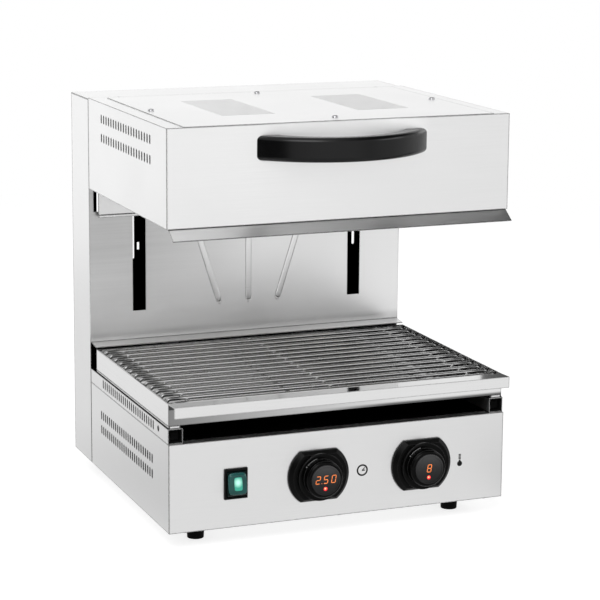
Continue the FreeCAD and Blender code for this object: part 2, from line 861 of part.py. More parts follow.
# Column side panels: wall with a flange at the back
for side, word in ((-1, "left"), (1, "right")):
    panel = new_body("column_side_" + word)
    back = column_back - s.skin
    pad(panel, "XY", ZERO, column_top - s.skin, polygon([(side * x, y) for x, y in (
        (half, s.skin + s.clearance), (half, back), (half - s.flange_width, back),
        (half - s.flange_width, back - s.skin), (inner, back - s.skin), (inner, s.skin + s.clearance))]))
    cover_levels = (s.cover_screw_low, (s.cover_screw_low + cover_screw_high) / 2, cover_screw_high)
    pocket(panel, "XZ", back - s.skin * 2, back + s.skin,
           *[circle(side * (half - s.cover_screw_inset), level, screw_hole) for level in cover_levels])
    keep(panel, "column_side_" + word)

# Back panel behind the cooking space, with the arm slots, the guide slots and the pressed beads
back_panel = new_body("back_panel")
panel_top = column_top - s.skin
pad(back_panel, "XZ", ZERO, s.skin, rectangle(-half, half, panel_bottom, panel_top))
pad(back_panel, "YZ", -tray_half, tray_half, polygon((
    (s.skin, panel_bottom), (s.skin, panel_bottom + s.skin), (ZERO, panel_bottom + s.skin),
    (-s.panel_flange_reach, panel_bottom - s.panel_flange_drop + s.skin),
    (-s.panel_flange_reach, panel_bottom - s.panel_flange_drop), (ZERO, panel_bottom))))
slots = []
for side in (-1, 1):
    middle = side * arm_middle
    slots.append(rectangle(middle - s.arm_slot_width / 2, middle + s.arm_slot_width / 2,
                           arm_slot_bottom, arm_slot_top))
    middle = side * (half - s.tab_slot_edge)
    slots.append(rectangle(middle - s.tab_slot_width / 2, middle + s.tab_slot_width / 2,
                           tab_slot_bottom, tab_slot_top))
pocket(back_panel, "XZ", -s.skin, s.skin * 2, *slots)
bead_radius = s.bead_width / 2
bead_rise = bead_top - bead_bottom
beads = [slot((ZERO, bead_bottom), (ZERO, bead_top), bead_radius)]
for side in (-1, 1):
    beads.append(slot((side * s.bead_foot_place, bead_bottom),
                      (side * (s.bead_foot_place + bead_rise * s.bead_lean), bead_top), bead_radius))
pad(back_panel, "XZ", -s.bead_height, s.skin / 2, *beads)
rounded(back_panel, s.bead_round,
        lambda edge: abs(edge.BoundBox.YMin + s.bead_height.number) < 0.01
        and abs(edge.BoundBox.YMax + s.bead_height.number) < 0.01)
keep(back_panel, "column_back_panel")

# Rear cover with its vent slots, gland hole and screw holes
cover = new_body("rear_cover")
pad(cover, "XZ", column_back - s.skin, column_back, rectangle(-half, half, ZERO, column_top - s.skin))
holes = []
for side in (-1, 1):
    for index in range(3):
        across = side * (half - s.cover_slot_edge - s.cover_slot_pitch * index)
        holes.append(slot((across, cover_slot_bottom), (across, cover_slot_top), s.vent_width / 2))
    across = side * (half - s.cover_window_edge)
    holes.append(rectangle(across - s.cover_window_width / 2, across + s.cover_window_width / 2,
                           cover_window_bottom, cover_window_bottom + s.cover_window_height))
    for level in cover_levels:
        holes.append(circle(side * (half - s.cover_screw_inset), level, screw_hole))
holes.append(circle(gland_place, s.gland_level, s.gland_thread / 2 + s.screw_clearance))
pocket(cover, "XZ", column_back - s.skin * 2, column_back + s.skin, *holes)
keep(cover, "column_rear_cover")

# Top cap of the column
cap = new_body("cap")
pad(cap, "XY", column_top - s.skin, column_top, rectangle(-half, half, ZERO, column_back))
pad(cap, "YZ", -inner + s.clearance, inner - s.clearance,
    rectangle(s.skin, s.skin * 2, column_top - s.flange_width, column_top))
keep(cap, "column_top_cap")

screws = []
for side in (-1, 1):
    for index, level in enumerate(cover_levels):
        screws.append(screw("cover_screw_%d_%d" % (side + 1, index), "y",
                            (side * (half - s.cover_screw_inset), column_back, level), True))
for side in (-1, 0, 1):
    screws.append(screw("bottom_screw_%d" % (side + 1), "z",
                        (side * (half - s.bottom_screw_edge), base_face + s.bottom_screw_inset, ZERO), False))
keep(group("fasteners", screws + nuts), "base_fasteners")

# Crossbars between the column sides; the lower one carries the gas springs
bar_face = s.crossbar_front
bar_back = bar_face + s.crossbar_depth
spring_foot = crossbar_lower_top
for word, top in (("upper", crossbar_upper_top), ("lower", crossbar_lower_top)):
    crossbar = new_body("crossbar_" + word)
    low = top - s.crossbar_height
    wall = s.crossbar_plate
    pad(crossbar, "YZ", -inner, inner, polygon((
        (bar_face, low), (bar_back, low), (bar_back, low + wall), (bar_face + wall, low + wall),
        (bar_face + wall, top - wall), (bar_back, top - wall), (bar_back, top), (bar_face, top))))
    if word == "lower":
        for side in (-1, 1):
            middle = side * s.spring_place
            pad(crossbar, "XY", top - s.shelf_thick, top,
                rectangle(middle - s.shelf_width / 2, middle + s.shelf_width / 2,
                          s.spring_depth - s.shelf_margin, bar_face + wall))
    keep(crossbar, "rail_crossbar_" + word)

# Guide rails: open channels for the rollers
rail_outer = s.rail_inner + s.rail_width
for side, word in ((-1, "left"), (1, "right")):
    rail = new_body("rail_" + word)
    near = s.rail_front
    far = s.crossbar_front
    wall = s.rail_wall
    pad(rail, "XY", rail_bottom, rail_top, polygon([(side * x, y) for x, y in (
        (s.rail_inner, near), (rail_outer, near), (rail_outer, near + wall), (s.rail_inner + wall, near + wall),
        (s.rail_inner + wall, far - wall), (rail_outer, far - wall), (rail_outer, far), (s.rail_inner, far))]))
    keep(rail, "guide_rail_" + word)

# Rubber stops on the rails, above and below the carriage plate
plate_top = plate_bottom + s.plate_height
stops = []
for side in (-1, 1):
    span = sorted((side * (s.rail_inner + s.stop_inset), side * rail_outer), key=number_of)
    depth = (s.rail_front - s.stop_depth, s.rail_front)
    low_top = plate_bottom - s.lift_travel - s.clearance
    high_low = plate_top + s.clearance
    stops.append(box("stop_low_%d" % (side + 1), span, depth, (low_top - s.stop_height, low_top)))
    stops.append(box("stop_high_%d" % (side + 1), span, depth, (high_low, high_low + s.stop_height)))
keep(group("stops", stops), "lift_stops")

# Gas springs: cylinders on the lower crossbar, rods and pistons under the carriage
cylinders = []
rods = []
spring_bore = s.spring_diameter / 2 - s.spring_wall
for side in (-1, 1):
    mark = side + 1
    spot = (side * s.spring_place, s.spring_depth)
    tube = rod("spring_tube_%d" % mark, "z", (spot[0], spot[1], spring_foot), s.spring_length, s.spring_diameter / 2)
    hollow = rod("spring_hollow_%d" % mark, "z", (spot[0], spot[1], spring_foot + s.spring_bottom_wall),
                 s.spring_length - s.spring_bottom_wall - s.spring_gland, spring_bore)
    passage = rod("spring_passage_%d" % mark, "z", (spot[0], spot[1], spring_foot + s.spring_length / 2),
                  s.spring_length, s.rod_diameter / 2 + s.rod_clearance)
    cylinders.append(carved("spring_cylinder_%d" % mark, tube, (hollow, passage)))
    rod_foot = spring_foot + s.spring_bottom_wall + s.lift_travel + s.clearance
    stem = rod("spring_stem_%d" % mark, "z", (spot[0], spot[1], rod_foot), rod_top - rod_foot, s.rod_diameter / 2)
    piston = rod("spring_piston_%d" % mark, "z", (spot[0], spot[1], rod_foot), s.piston_length,
                 spring_bore - s.rod_clearance)
    rods.append(fused("spring_rod_%d" % mark, (stem, piston)))
keep(group("cylinders", cylinders), "gas_spring_cylinders")
keep(group("rods", rods), "gas_spring_rods")

# Lift carriage: plate, ears for the rollers, shelves for the rods and the two arms to the hood
plate_back = s.plate_front + s.plate_thick
rail_middle = (s.rail_front + s.crossbar_front) / 2
carriage_parts = [box("carriage_plate", (-arm_middle - s.plate_arm_margin, arm_middle + s.plate_arm_margin),
                      (s.plate_front, plate_back), (plate_bottom, plate_top))]
axle_holes = []
for side in (-1, 1):
    mark = side + 1
    ear = sorted((side * s.ear_place, side * (s.ear_place + s.ear_thick)), key=number_of)
    ear_span = (roller_lower - s.ear_margin, roller_upper + s.ear_margin)
    carriage_parts.append(box("ear_%d" % mark, ear, (s.plate_front, s.crossbar_front), ear_span))
    middle = side * s.spring_place
    carriage_parts.append(box("shelf_%d" % mark, (middle - s.shelf_width / 2, middle + s.shelf_width / 2),
                              (s.plate_front, s.spring_depth + s.shelf_margin),
                              (rod_top, rod_top + s.shelf_thick)))
    middle = side * arm_middle
    arm_up = (arm_bottom, arm_bottom + s.arm_height)
    arm_front = -s.rear_plate_back
    for cheek, start in enumerate((middle - s.arm_width / 2, middle + s.arm_width / 2 - s.arm_wall)):
        carriage_parts.append(box("arm_cheek_%d_%d" % (mark, cheek), (start, start + s.arm_wall),
                                  (arm_front, plate_back), arm_up))
    carriage_parts.append(box("arm_face_%d" % mark, (middle - s.arm_width / 2, middle + s.arm_width / 2),
                              (arm_front, arm_front + s.arm_wall), arm_up))
    for level in (roller_lower, roller_upper):
        axle_holes.append(rod("axle_hole_%d_%d" % (mark, len(axle_holes)), "x",
                              (ear[0] - s.ear_thick, rail_middle, level), s.ear_thick * 3,
                              s.axle_diameter / 2 + s.axle_clearance))
bolt_levels = (arm_bottom + s.arm_bolt_margin * 2, arm_bottom + s.arm_height - s.arm_bolt_margin)
for side in (-1, 1):
    for level in bolt_levels:
        axle_holes.append(rod("arm_hole_%d_%d" % (side + 1, len(axle_holes)), "y",
                              (side * arm_middle, -s.rear_plate_back - s.arm_wall, level),
                              s.arm_wall * 3, screw_hole))
keep(carved("carriage", fused("carriage_body", carriage_parts), axle_holes), "lift_carriage")

# Rollers in the rails, on axle pins with a head
roller_radius = (s.crossbar_front - s.rail_front) / 2 - s.rail_wall - s.roller_play
roller_middle = s.rail_inner + (s.rail_wall + s.rail_width) / 2
axles = []
for side, word in ((-1, "left"), (1, "right")):
    for level, height in ((roller_upper, "upper"), (roller_lower, "lower")):
        name = "roller_%s_%s" % (height, word)
        start = side * roller_middle - s.roller_width / 2
        wheel = rod(name + "_wheel", "x", (start, rail_middle, level), s.roller_width, roller_radius)
        bore = rod(name + "_bore", "x", (start - s.roller_width / 2, rail_middle, level), s.roller_width * 2,
                   s.axle_diameter / 2 + s.axle_clearance)
        keep(carved(name + "_cut", wheel, (bore,)), name)
        tip = roller_middle - s.roller_width / 2 - s.seam
        end = s.ear_place + s.ear_thick
        pin_span = sorted((side * tip, side * (end + s.clearance)), key=number_of)
        head_span = sorted((side * end, side * (end + s.axle_head_height)), key=number_of)
        pin = rod(name + "_pin", "x", (pin_span[0], rail_middle, level), pin_span[1] - pin_span[0],
                  s.axle_diameter / 2)
        head = rod(name + "_head", "x", (head_span[0], rail_middle, level), head_span[1] - head_span[0],
                   s.axle_head / 2)
        axles.append(fused(name + "_axle", (pin, head)))
keep(group("axles", axles), "roller_axles")

# Hood front panel, with a flange along its top and the holes for the handle screws
hood_front = new_body("hood_front")
handle_low = hood_bottom + s.handle_bottom
handle_high = handle_low + s.handle_height
flange_side = half - s.hood_flange - s.clearance
handle_holes = [(side * s.handle_screw_place, level) for side in (-1, 1)
                for level in (handle_low + s.handle_screw_margin, handle_high - s.handle_screw_margin)]
pad(hood_front, "XZ", hood_face, hood_face + s.skin, rectangle(-half, half, hood_bottom, hood_top))
pad(hood_front, "YZ", -flange_side, flange_side,
    rectangle(hood_face, hood_face + s.hood_flange, hood_top - s.skin, hood_top))
pocket(hood_front, "XZ", hood_face - s.skin, hood_face + s.skin * 2,
       *[circle(x, z, screw_hole) for x, z in handle_holes])
pocket(hood_front, "XY", hood_top - s.skin * 2, hood_top + s.skin,
       circle(ZERO, -s.cover_screw_front, screw_hole))
keep(hood_front, "hood_front_panel")

# Hood side panels: wall, wide top flange under the cover and a bottom flange that carries the reflector
for side, word in ((-1, "left"), (1, "right")):
    panel = new_body("hood_side_" + word)
    top_in = half - s.hood_flange
    foot_in = inner - s.hood_bottom_flange
    pad(panel, "XZ", hood_face + s.skin + s.seam, -s.rear_seam, polygon([(side * x, z) for x, z in (
        (half, hood_bottom), (half, hood_top), (top_in, hood_top), (top_in, hood_top - s.skin),
        (inner, hood_top - s.skin), (inner, hood_bottom + s.skin), (foot_in, hood_bottom + s.skin),
        (foot_in, hood_bottom))]))
    pocket(panel, "XY", hood_top - s.skin * 2, hood_top + s.skin,
           circle(side * cover_screw_side, -s.cover_screw_middle, screw_hole))
    first = -(s.hood_vent_end + s.hood_vent_pitch * (s.hood_vent_count - 1))
    reach = (s.hood_vent_height - s.vent_width) / 2
    outlines = [slot((first, hood_top - level - reach), (first, hood_top - level + reach), s.vent_width / 2)
                for level in (s.hood_vent_upper, s.hood_vent_lower)]
    edges = (inner - s.skin, half + s.skin) if side > 0 else (-half - s.skin, -inner + s.skin)
    vents = pocket(panel, "YZ", edges[0], edges[1], *outlines)
    row_of(panel, vents, "Y", s.hood_vent_pitch, s.hood_vent_count)
    keep(panel, "hood_side_" + word)

# Top cover on the flanges, with two fields of vent slots
top_cover = new_body("top_cover")
cover_half = half - s.cover_margin
pad(top_cover, "XY", hood_top, hood_top + s.cover_thick,
    rectangle(-cover_half, cover_half, hood_face + s.cover_front_gap, -s.cover_rear))
cover_spots = ((-cover_screw_side, -s.cover_screw_middle), (cover_screw_side, -s.cover_screw_middle),
               (ZERO, -s.cover_screw_rear), (ZERO, -s.cover_screw_front))
pocket(top_cover, "XY", hood_top - s.cover_thick, hood_top + s.cover_thick * 2,
       *[circle(x, y, screw_hole) for x, y in cover_spots])
first = -(s.top_vent_rear + s.top_vent_pitch * (s.top_vent_count - 1))
reach = (s.top_vent_length - s.top_vent_width) / 2
outlines = [slot((side * s.top_vent_place - reach, first), (side * s.top_vent_place + reach, first), s.top_vent_width / 2)
            for side in (-1, 1)]
vents = pocket(top_cover, "XY", hood_top - s.cover_thick, hood_top + s.cover_thick * 2, *outlines)
row_of(top_cover, vents, "Y", s.top_vent_pitch, s.top_vent_count)
keep(top_cover, "hood_top_cover")
hood_screws = [screw("top_screw_%d" % index, "z", (x, y, hood_top + s.cover_thick), True)
               for index, (x, y) in enumerate(cover_spots)]

# Rear plate of the hood, with its hem, the strip along the top and the guide tabs
rear_plate = new_body("rear_plate")
plate_near = -s.rear_plate_back - s.skin
rear_low = hood_bottom - s.rear_plate_drop
pad(rear_plate, "XZ", plate_near, -s.rear_plate_back,
    rectangle(-rear_plate_half, rear_plate_half, rear_low, hood_top - s.skin))
pad(rear_plate, "XZ", -s.rear_plate_back - s.hem_thick, -s.rear_plate_back,
    rectangle(-rear_plate_half, rear_plate_half, rear_low, rear_low + s.hem_height))
strip_low = hood_top - s.skin
pad(rear_plate, "YZ", -flange_side, flange_side, polygon((
    (-s.hood_flange, hood_top), (-s.hood_flange, strip_low), (plate_near, strip_low),
    (plate_near, strip_low - s.skin), (-s.rear_plate_back, strip_low - s.skin), (-s.rear_plate_back, strip_low),
    (-s.rear_seam, strip_low), (-s.rear_seam, hood_top))))
for side in (-1, 1):
    span = sorted((side * rear_plate_half, side * (rear_plate_half - s.tab_thick)), key=number_of)
    pad(rear_plate, "XZ", plate_near, -s.rear_plate_back + s.tab_reach,
        rectangle(span[0], span[1], tab_bottom, tab_bottom + s.tab_height))
pocket(rear_plate, "XZ", plate_near - s.skin, -s.rear_plate_back + s.skin,
       *[circle(side * arm_middle, level, screw_hole) for side in (-1, 1) for level in bolt_levels])
pocket(rear_plate, "XY", hood_top - s.skin * 2, hood_top + s.skin,
       circle(ZERO, -s.cover_screw_rear, screw_hole))
keep(rear_plate, "hood_rear_plate")
hood_screws += [screw("arm_screw_%d_%d" % (side + 1, index), "y", (side * arm_middle, plate_near, level), False)
                for side in (-1, 1) for index, level in enumerate(bolt_levels)]

# Deflector lip under the hood's front edge
lip = new_body("lip")
leg_back = hood_face + s.skin + s.lip_thick
leg_front = hood_face + s.skin
lip_top = hood_bottom - s.clearance
pad(lip, "YZ", s.lip_edge - half, half - s.lip_edge, polygon((
    (leg_back, lip_top), (leg_front, lip_top), (hood_face - s.lip_reach, lip_top - s.lip_drop),
    (hood_face - s.lip_reach, lip_top - s.lip_drop - s.lip_thick), (leg_back, lip_top - s.lip_thick))))
leg_half = inner - s.hood_bottom_flange - s.clearance
pad(lip, "YZ", -leg_half, leg_half,
    rectangle(leg_front, leg_back, lip_top - s.lip_thick, hood_bottom + s.lip_leg))
keep(lip, "front_deflector")

# Heat reflector: a shallow pan, open below, whose rim lies on the hood's bottom flanges
reflector = new_body("reflector")
rim_low = hood_bottom + s.skin
reflector_top = rim_low + s.reflector_height
pan_front = -s.reflector_front
pan_rear = -s.reflector_rear
pad(reflector, "XY", rim_low, reflector_top,
    rectangle(-reflector_half, reflector_half, pan_front, pan_rear))
pad(reflector, "XY", rim_low, rim_low + s.reflector_skin,
    rectangle(s.reflector_rim_gap - inner, inner - s.reflector_rim_gap, pan_front - s.reflector_rim_reach,
              pan_rear + s.reflector_rim_reach))
pocket(reflector, "XY", rim_low - s.skin, reflector_top - s.reflector_skin,
       rectangle(-reflector_half + s.reflector_skin, reflector_half - s.reflector_skin,
                 pan_front + s.reflector_skin, pan_rear - s.reflector_skin))
run_places = [-(s.element_front - s.element_pitch * index) for index in range(8)]
end_places = [run_places[index] for index in (0, 3, 4, 7)]
end_across = -element_half - s.element_bend
pocket(reflector, "XY", reflector_top - s.reflector_skin * 2, reflector_top + s.reflector_skin,
       *[circle(end_across, place, s.insulator_body / 2 + s.clearance) for place in end_places])
keep(reflector, "heat_reflector")

# Ceramic bushes where the heating elements pass through the reflector
bushes = []
for index, place in enumerate(end_places):
    flange = rod("bush_flange_%d" % index, "z", (end_across, place, reflector_top), s.insulator_flange_height,
                 s.insulator_flange / 2)
    sleeve = rod("bush_sleeve_%d" % index, "z",
                 (end_across, place, reflector_top + s.insulator_flange_height - s.insulator_length),
                 s.insulator_length, s.insulator_body / 2)
    bore = rod("bush_bore_%d" % index, "z", (end_across, place, reflector_top - s.insulator_length),
               s.insulator_length * 2, s.element_diameter / 2 + s.axle_clearance)
    bushes.append(carved("bush_%d" % index, fused("bush_body_%d" % index, (flange, sleeve)), (bore,)))
keep(group("bushes", bushes), "terminal_bushes")

# Insulation on the reflector, clear of the bushes
insulation = new_body("insulation")
pad(insulation, "XY", reflector_top, reflector_top + s.insulation_thick,
    rectangle(s.insulation_left_margin - reflector_half, reflector_half - s.insulation_margin, pan_front + s.insulation_margin,
              pan_rear - s.insulation_margin))
keep(insulation, "insulation_blanket")


# Tubular heating elements: four runs each, joined by half turns, with both ends bent up on the left
def heating_element(label, places):
    radius = s.element_diameter / 2
    level = rim_low + s.element_level
    turn_radius = s.element_pitch / 2
    parts = []
    for index, place in enumerate(places):
        left = -element_half if index in (0, 3) else -element_half + turn_radius
        right = element_half - turn_radius
        parts.append(rod("%s_run_%d" % (label, index), "x", (left, place, level), right - left, radius))
        if index == 3:
            continue
        bend = doc.addObject("Part::Torus", "%s_turn_%d" % (label, index))
        to_right = index in (0, 2)
        bend.Placement = FreeCAD.Placement(FreeCAD.Vector(), FreeCAD.Rotation(
            FreeCAD.Vector(0, 0, 1), -90 if to_right else 90))
        put(bend, (right if to_right else -element_half + turn_radius, place + turn_radius, level))
        bind(bend, "Radius1", turn_radius)
        bind(bend, "Radius2", radius)
        bend.Angle3 = 180
        parts.append(bend)
    for mark, place in enumerate((places[0], places[3])):
        bend = doc.addObject("Part::Torus", "%s_rise_%d" % (label, mark))
        bend.Placement = FreeCAD.Placement(FreeCAD.Vector(), FreeCAD.Rotation(
            FreeCAD.Vector(-1, 0, 0), FreeCAD.Vector(0, 0, -1), FreeCAD.Vector(0, -1, 0), "XZY"))
        put(bend, (-element_half, place, level + s.element_bend))
        bind(bend, "Radius1", s.element_bend)
        bind(bend, "Radius2", radius)
        bend.Angle3 = 90
        parts.append(bend)
        parts.append(rod("%s_end_%d" % (label, mark), "z", (end_across, place, level + s.element_bend),
                         s.element_rise, radius))
    keep(fused(label + "_tube", parts), label)


heating_element("heating_element_front", run_places[:4])
heating_element("heating_element_rear", run_places[4:])

# Support strips that hang the elements from the reflector
supports = []
for index in (-1, 0, 1):
    across = index * (element_half - s.support_inset) - s.support_thick / 2
    strip = box("support_%d" % (index + 1), (across, across + s.support_thick),
                (run_places[0] - s.support_margin, run_places[7] + s.support_margin),
                (rim_low + s.element_level - s.support_drop, reflector_top - s.reflector_skin))
    notches = [rod("notch_%d_%d" % (index + 1, mark), "x",
                   (across - s.support_thick, place, rim_low + s.element_level),
                   s.support_thick * 3, s.element_diameter / 2 + s.support_play)
               for mark, place in enumerate(run_places)]
    supports.append(carved("support_strip_%d" % (index + 1), strip, notches))
keep(group("supports", supports), "element_supports")


# Handle: a bow whose two feet stand on the hood front
def sagitta_radius(chord, rise):
    return (chord * chord + rise * rise) / (rise * 2)


def bow(sketch):
    up = FreeCAD.Vector(0, 0, 1)
    arcs = ((s.handle_half, s.handle_reach), (s.handle_foot_inner, s.handle_reach - s.handle_band))
    for index, (chord, rise) in enumerate(arcs):
        radius = sagitta_radius(chord, rise)
        middle = hood_face - rise + radius
        low = math.atan2(hood_face.number - middle.number, -chord.number)
        high = math.atan2(hood_face.number - middle.number, chord.number)
        centre = FreeCAD.Vector(0, middle.number, 0)
        sketch.addGeometry(Part.ArcOfCircle(Part.Circle(centre, up, radius.number), low, high), False)
        constrain(sketch, (
            ("DistanceX", (-1, 1, index, 1), -chord), ("DistanceY", (-1, 1, index, 1), hood_face),
            ("DistanceX", (-1, 1, index, 2), chord), ("DistanceY", (-1, 1, index, 2), hood_face),
            ("DistanceY", (-1, 1, index, 3), middle),
        ))
    for index, end in enumerate((1, 2)):
        side = -1 if end == 1 else 1
        one = FreeCAD.Vector(side * s.handle_half.number, hood_face.number, 0)
        two = FreeCAD.Vector(side * s.handle_foot_inner.number, hood_face.number, 0)
        sketch.addGeometry(Part.LineSegment(one, two), False)
        constrain(sketch, (("Coincident", (0, end, index + 2, 1), None), ("Coincident", (1, end, index + 2, 2), None)))


handle = new_body("handle")
pad(handle, "XY", handle_low, handle_high, bow)
outer_face = hood_face.number - s.handle_reach.number
rounded(handle, s.handle_round,
        lambda edge: edge.BoundBox.XLength > s.handle_half.number * 1.9 and edge.BoundBox.ZLength < 0.01
        and abs(edge.BoundBox.YMin - outer_face) < 1)
pocket(handle, "XZ", hood_face - s.handle_screw_depth, hood_face,
       *[circle(x, z, screw_hole) for x, z in handle_holes])
keep(handle, "hood_handle")
hood_screws += [screw("handle_screw_%d" % index, "y", (x, hood_face + s.skin, z), True)
                for index, (x, z) in enumerate(handle_holes)]
keep(group("hood_fasteners", hood_screws), "hood_screws")

# Rocker switch: bezel, housing behind the panel, and the rocker between its two stub pins
sector = root(s.rocker_reach * s.rocker_reach + s.rocker_half_height * s.rocker_half_height)
window_half = sector + s.clearance
window_side = s.rocker_width / 2 + s.clearance
bezel = new_body("bezel")
pad(bezel, "XZ", base_face - s.bezel_thick, base_face,
    rectangle(switch_middle - s.bezel_width / 2, switch_middle + s.bezel_width / 2,
              s.switch_level - s.bezel_height / 2, s.switch_level + s.bezel_height / 2),
    rectangle(switch_middle - window_side, switch_middle + window_side,
              s.switch_level - window_half, s.switch_level + window_half))
rounded(bezel, s.seam * 2, lambda edge: abs(edge.BoundBox.YMin - base_face.number + s.bezel_thick.number) < 0.01
        and edge.BoundBox.YLength < 0.01
        and (edge.BoundBox.XLength > s.bezel_width.number - 1 or edge.BoundBox.ZLength > s.bezel_height.number - 1))
keep(bezel, "switch_bezel")

housing = new_body("housing")
pivot = base_face + s.rocker_pivot
house_back = base_face + s.switch_depth
pad(housing, "XZ", base_face, house_back,
    rectangle(switch_middle - body_half_width, switch_middle + body_half_width,
              s.switch_level - body_half_height, s.switch_level + body_half_height))
pocket(housing, "XZ", base_face - s.seam, house_back - s.switch_wall,
       rectangle(switch_middle - window_side, switch_middle + window_side,
                 s.switch_level - window_half, s.switch_level + window_half))
pocket(housing, "YZ", switch_middle - body_half_width - s.seam, switch_middle + body_half_width + s.seam,
       circle(pivot, s.switch_level, s.rocker_pin / 2 + s.axle_clearance))
for side in (-1, 1):
    for level in (-1, 1):
        middle = switch_middle + side * s.rocker_width / 4
        high = s.switch_level + level * s.rocker_half_height / 2
        pad(housing, "XZ", house_back - s.switch_wall / 2, house_back + s.switch_tab_length,
            rectangle(middle - s.seam, middle + s.seam, high - s.rocker_pin, high + s.rocker_pin))
keep(housing, "switch_housing")


def rocker_outline(sketch):
    """Face, two round ends about the pivot and a flat back, about the pivot at the origin."""
    up = FreeCAD.Vector(0, 0, 1)
    origin = FreeCAD.Vector(0, 0, 0)
    reach = s.rocker_reach
    rise = s.rocker_half_height
    back = s.rocker_back
    back_rise = root(sector * sector - back * back)
    face_top = FreeCAD.Vector(-reach.number, rise.number, 0)
    face_low = FreeCAD.Vector(-reach.number, -rise.number, 0)
    back_top = FreeCAD.Vector(back.number, back_rise.number, 0)
    back_low = FreeCAD.Vector(back.number, -back_rise.number, 0)
    sketch.addGeometry(Part.LineSegment(face_top, face_low), False)
    low = math.atan2(face_low.y, face_low.x)
    sketch.addGeometry(Part.ArcOfCircle(Part.Circle(origin, up, sector.number), low,
                                        math.atan2(back_low.y, back_low.x)), False)
    sketch.addGeometry(Part.LineSegment(back_low, back_top), False)
    sketch.addGeometry(Part.ArcOfCircle(Part.Circle(origin, up, sector.number),
                                        math.atan2(back_top.y, back_top.x),
                                        math.atan2(face_top.y, face_top.x)), False)
    constrain(sketch, (
        ("Coincident", (0, 2, 1, 1), None), ("Coincident", (1, 2, 2, 1), None),
        ("Coincident", (2, 2, 3, 1), None), ("Coincident", (3, 2, 0, 1), None),
        ("Coincident", (1, 3, -1, 1), None), ("Coincident", (3, 3, -1, 1), None),
        ("DistanceX", (-1, 1, 0, 1), -reach), ("DistanceY", (-1, 1, 0, 1), rise),
        ("DistanceX", (-1, 1, 0, 2), -reach), ("DistanceY", (-1, 1, 0, 2), -rise),
        ("DistanceX", (-1, 1, 2, 1), back), ("DistanceX", (-1, 1, 2, 2), back),
    ))


rocker = new_body("rocker")
pad(rocker, "YZ", -s.rocker_width / 2, s.rocker_width / 2, rocker_outline)
pin_reach = s.rocker_width / 2 + s.clearance + s.rocker_pin_length
pad(rocker, "YZ", -pin_reach, pin_reach, circle(ZERO, ZERO, s.rocker_pin / 2))
keep(rocker, "switch_rocker")
rocker.Placement = FreeCAD.Placement(FreeCAD.Vector(), FreeCAD.Rotation(FreeCAD.Vector(-1, 0, 0), 10))
bind(rocker, "Placement.Rotation.Angle", s.rocker_tilt)
bind(rocker, "Placement.Base.x", switch_middle)
bind(rocker, "Placement.Base.y", pivot + frame_shift)
bind(rocker, "Placement.Base.z", s.switch_level + s.foot_height)

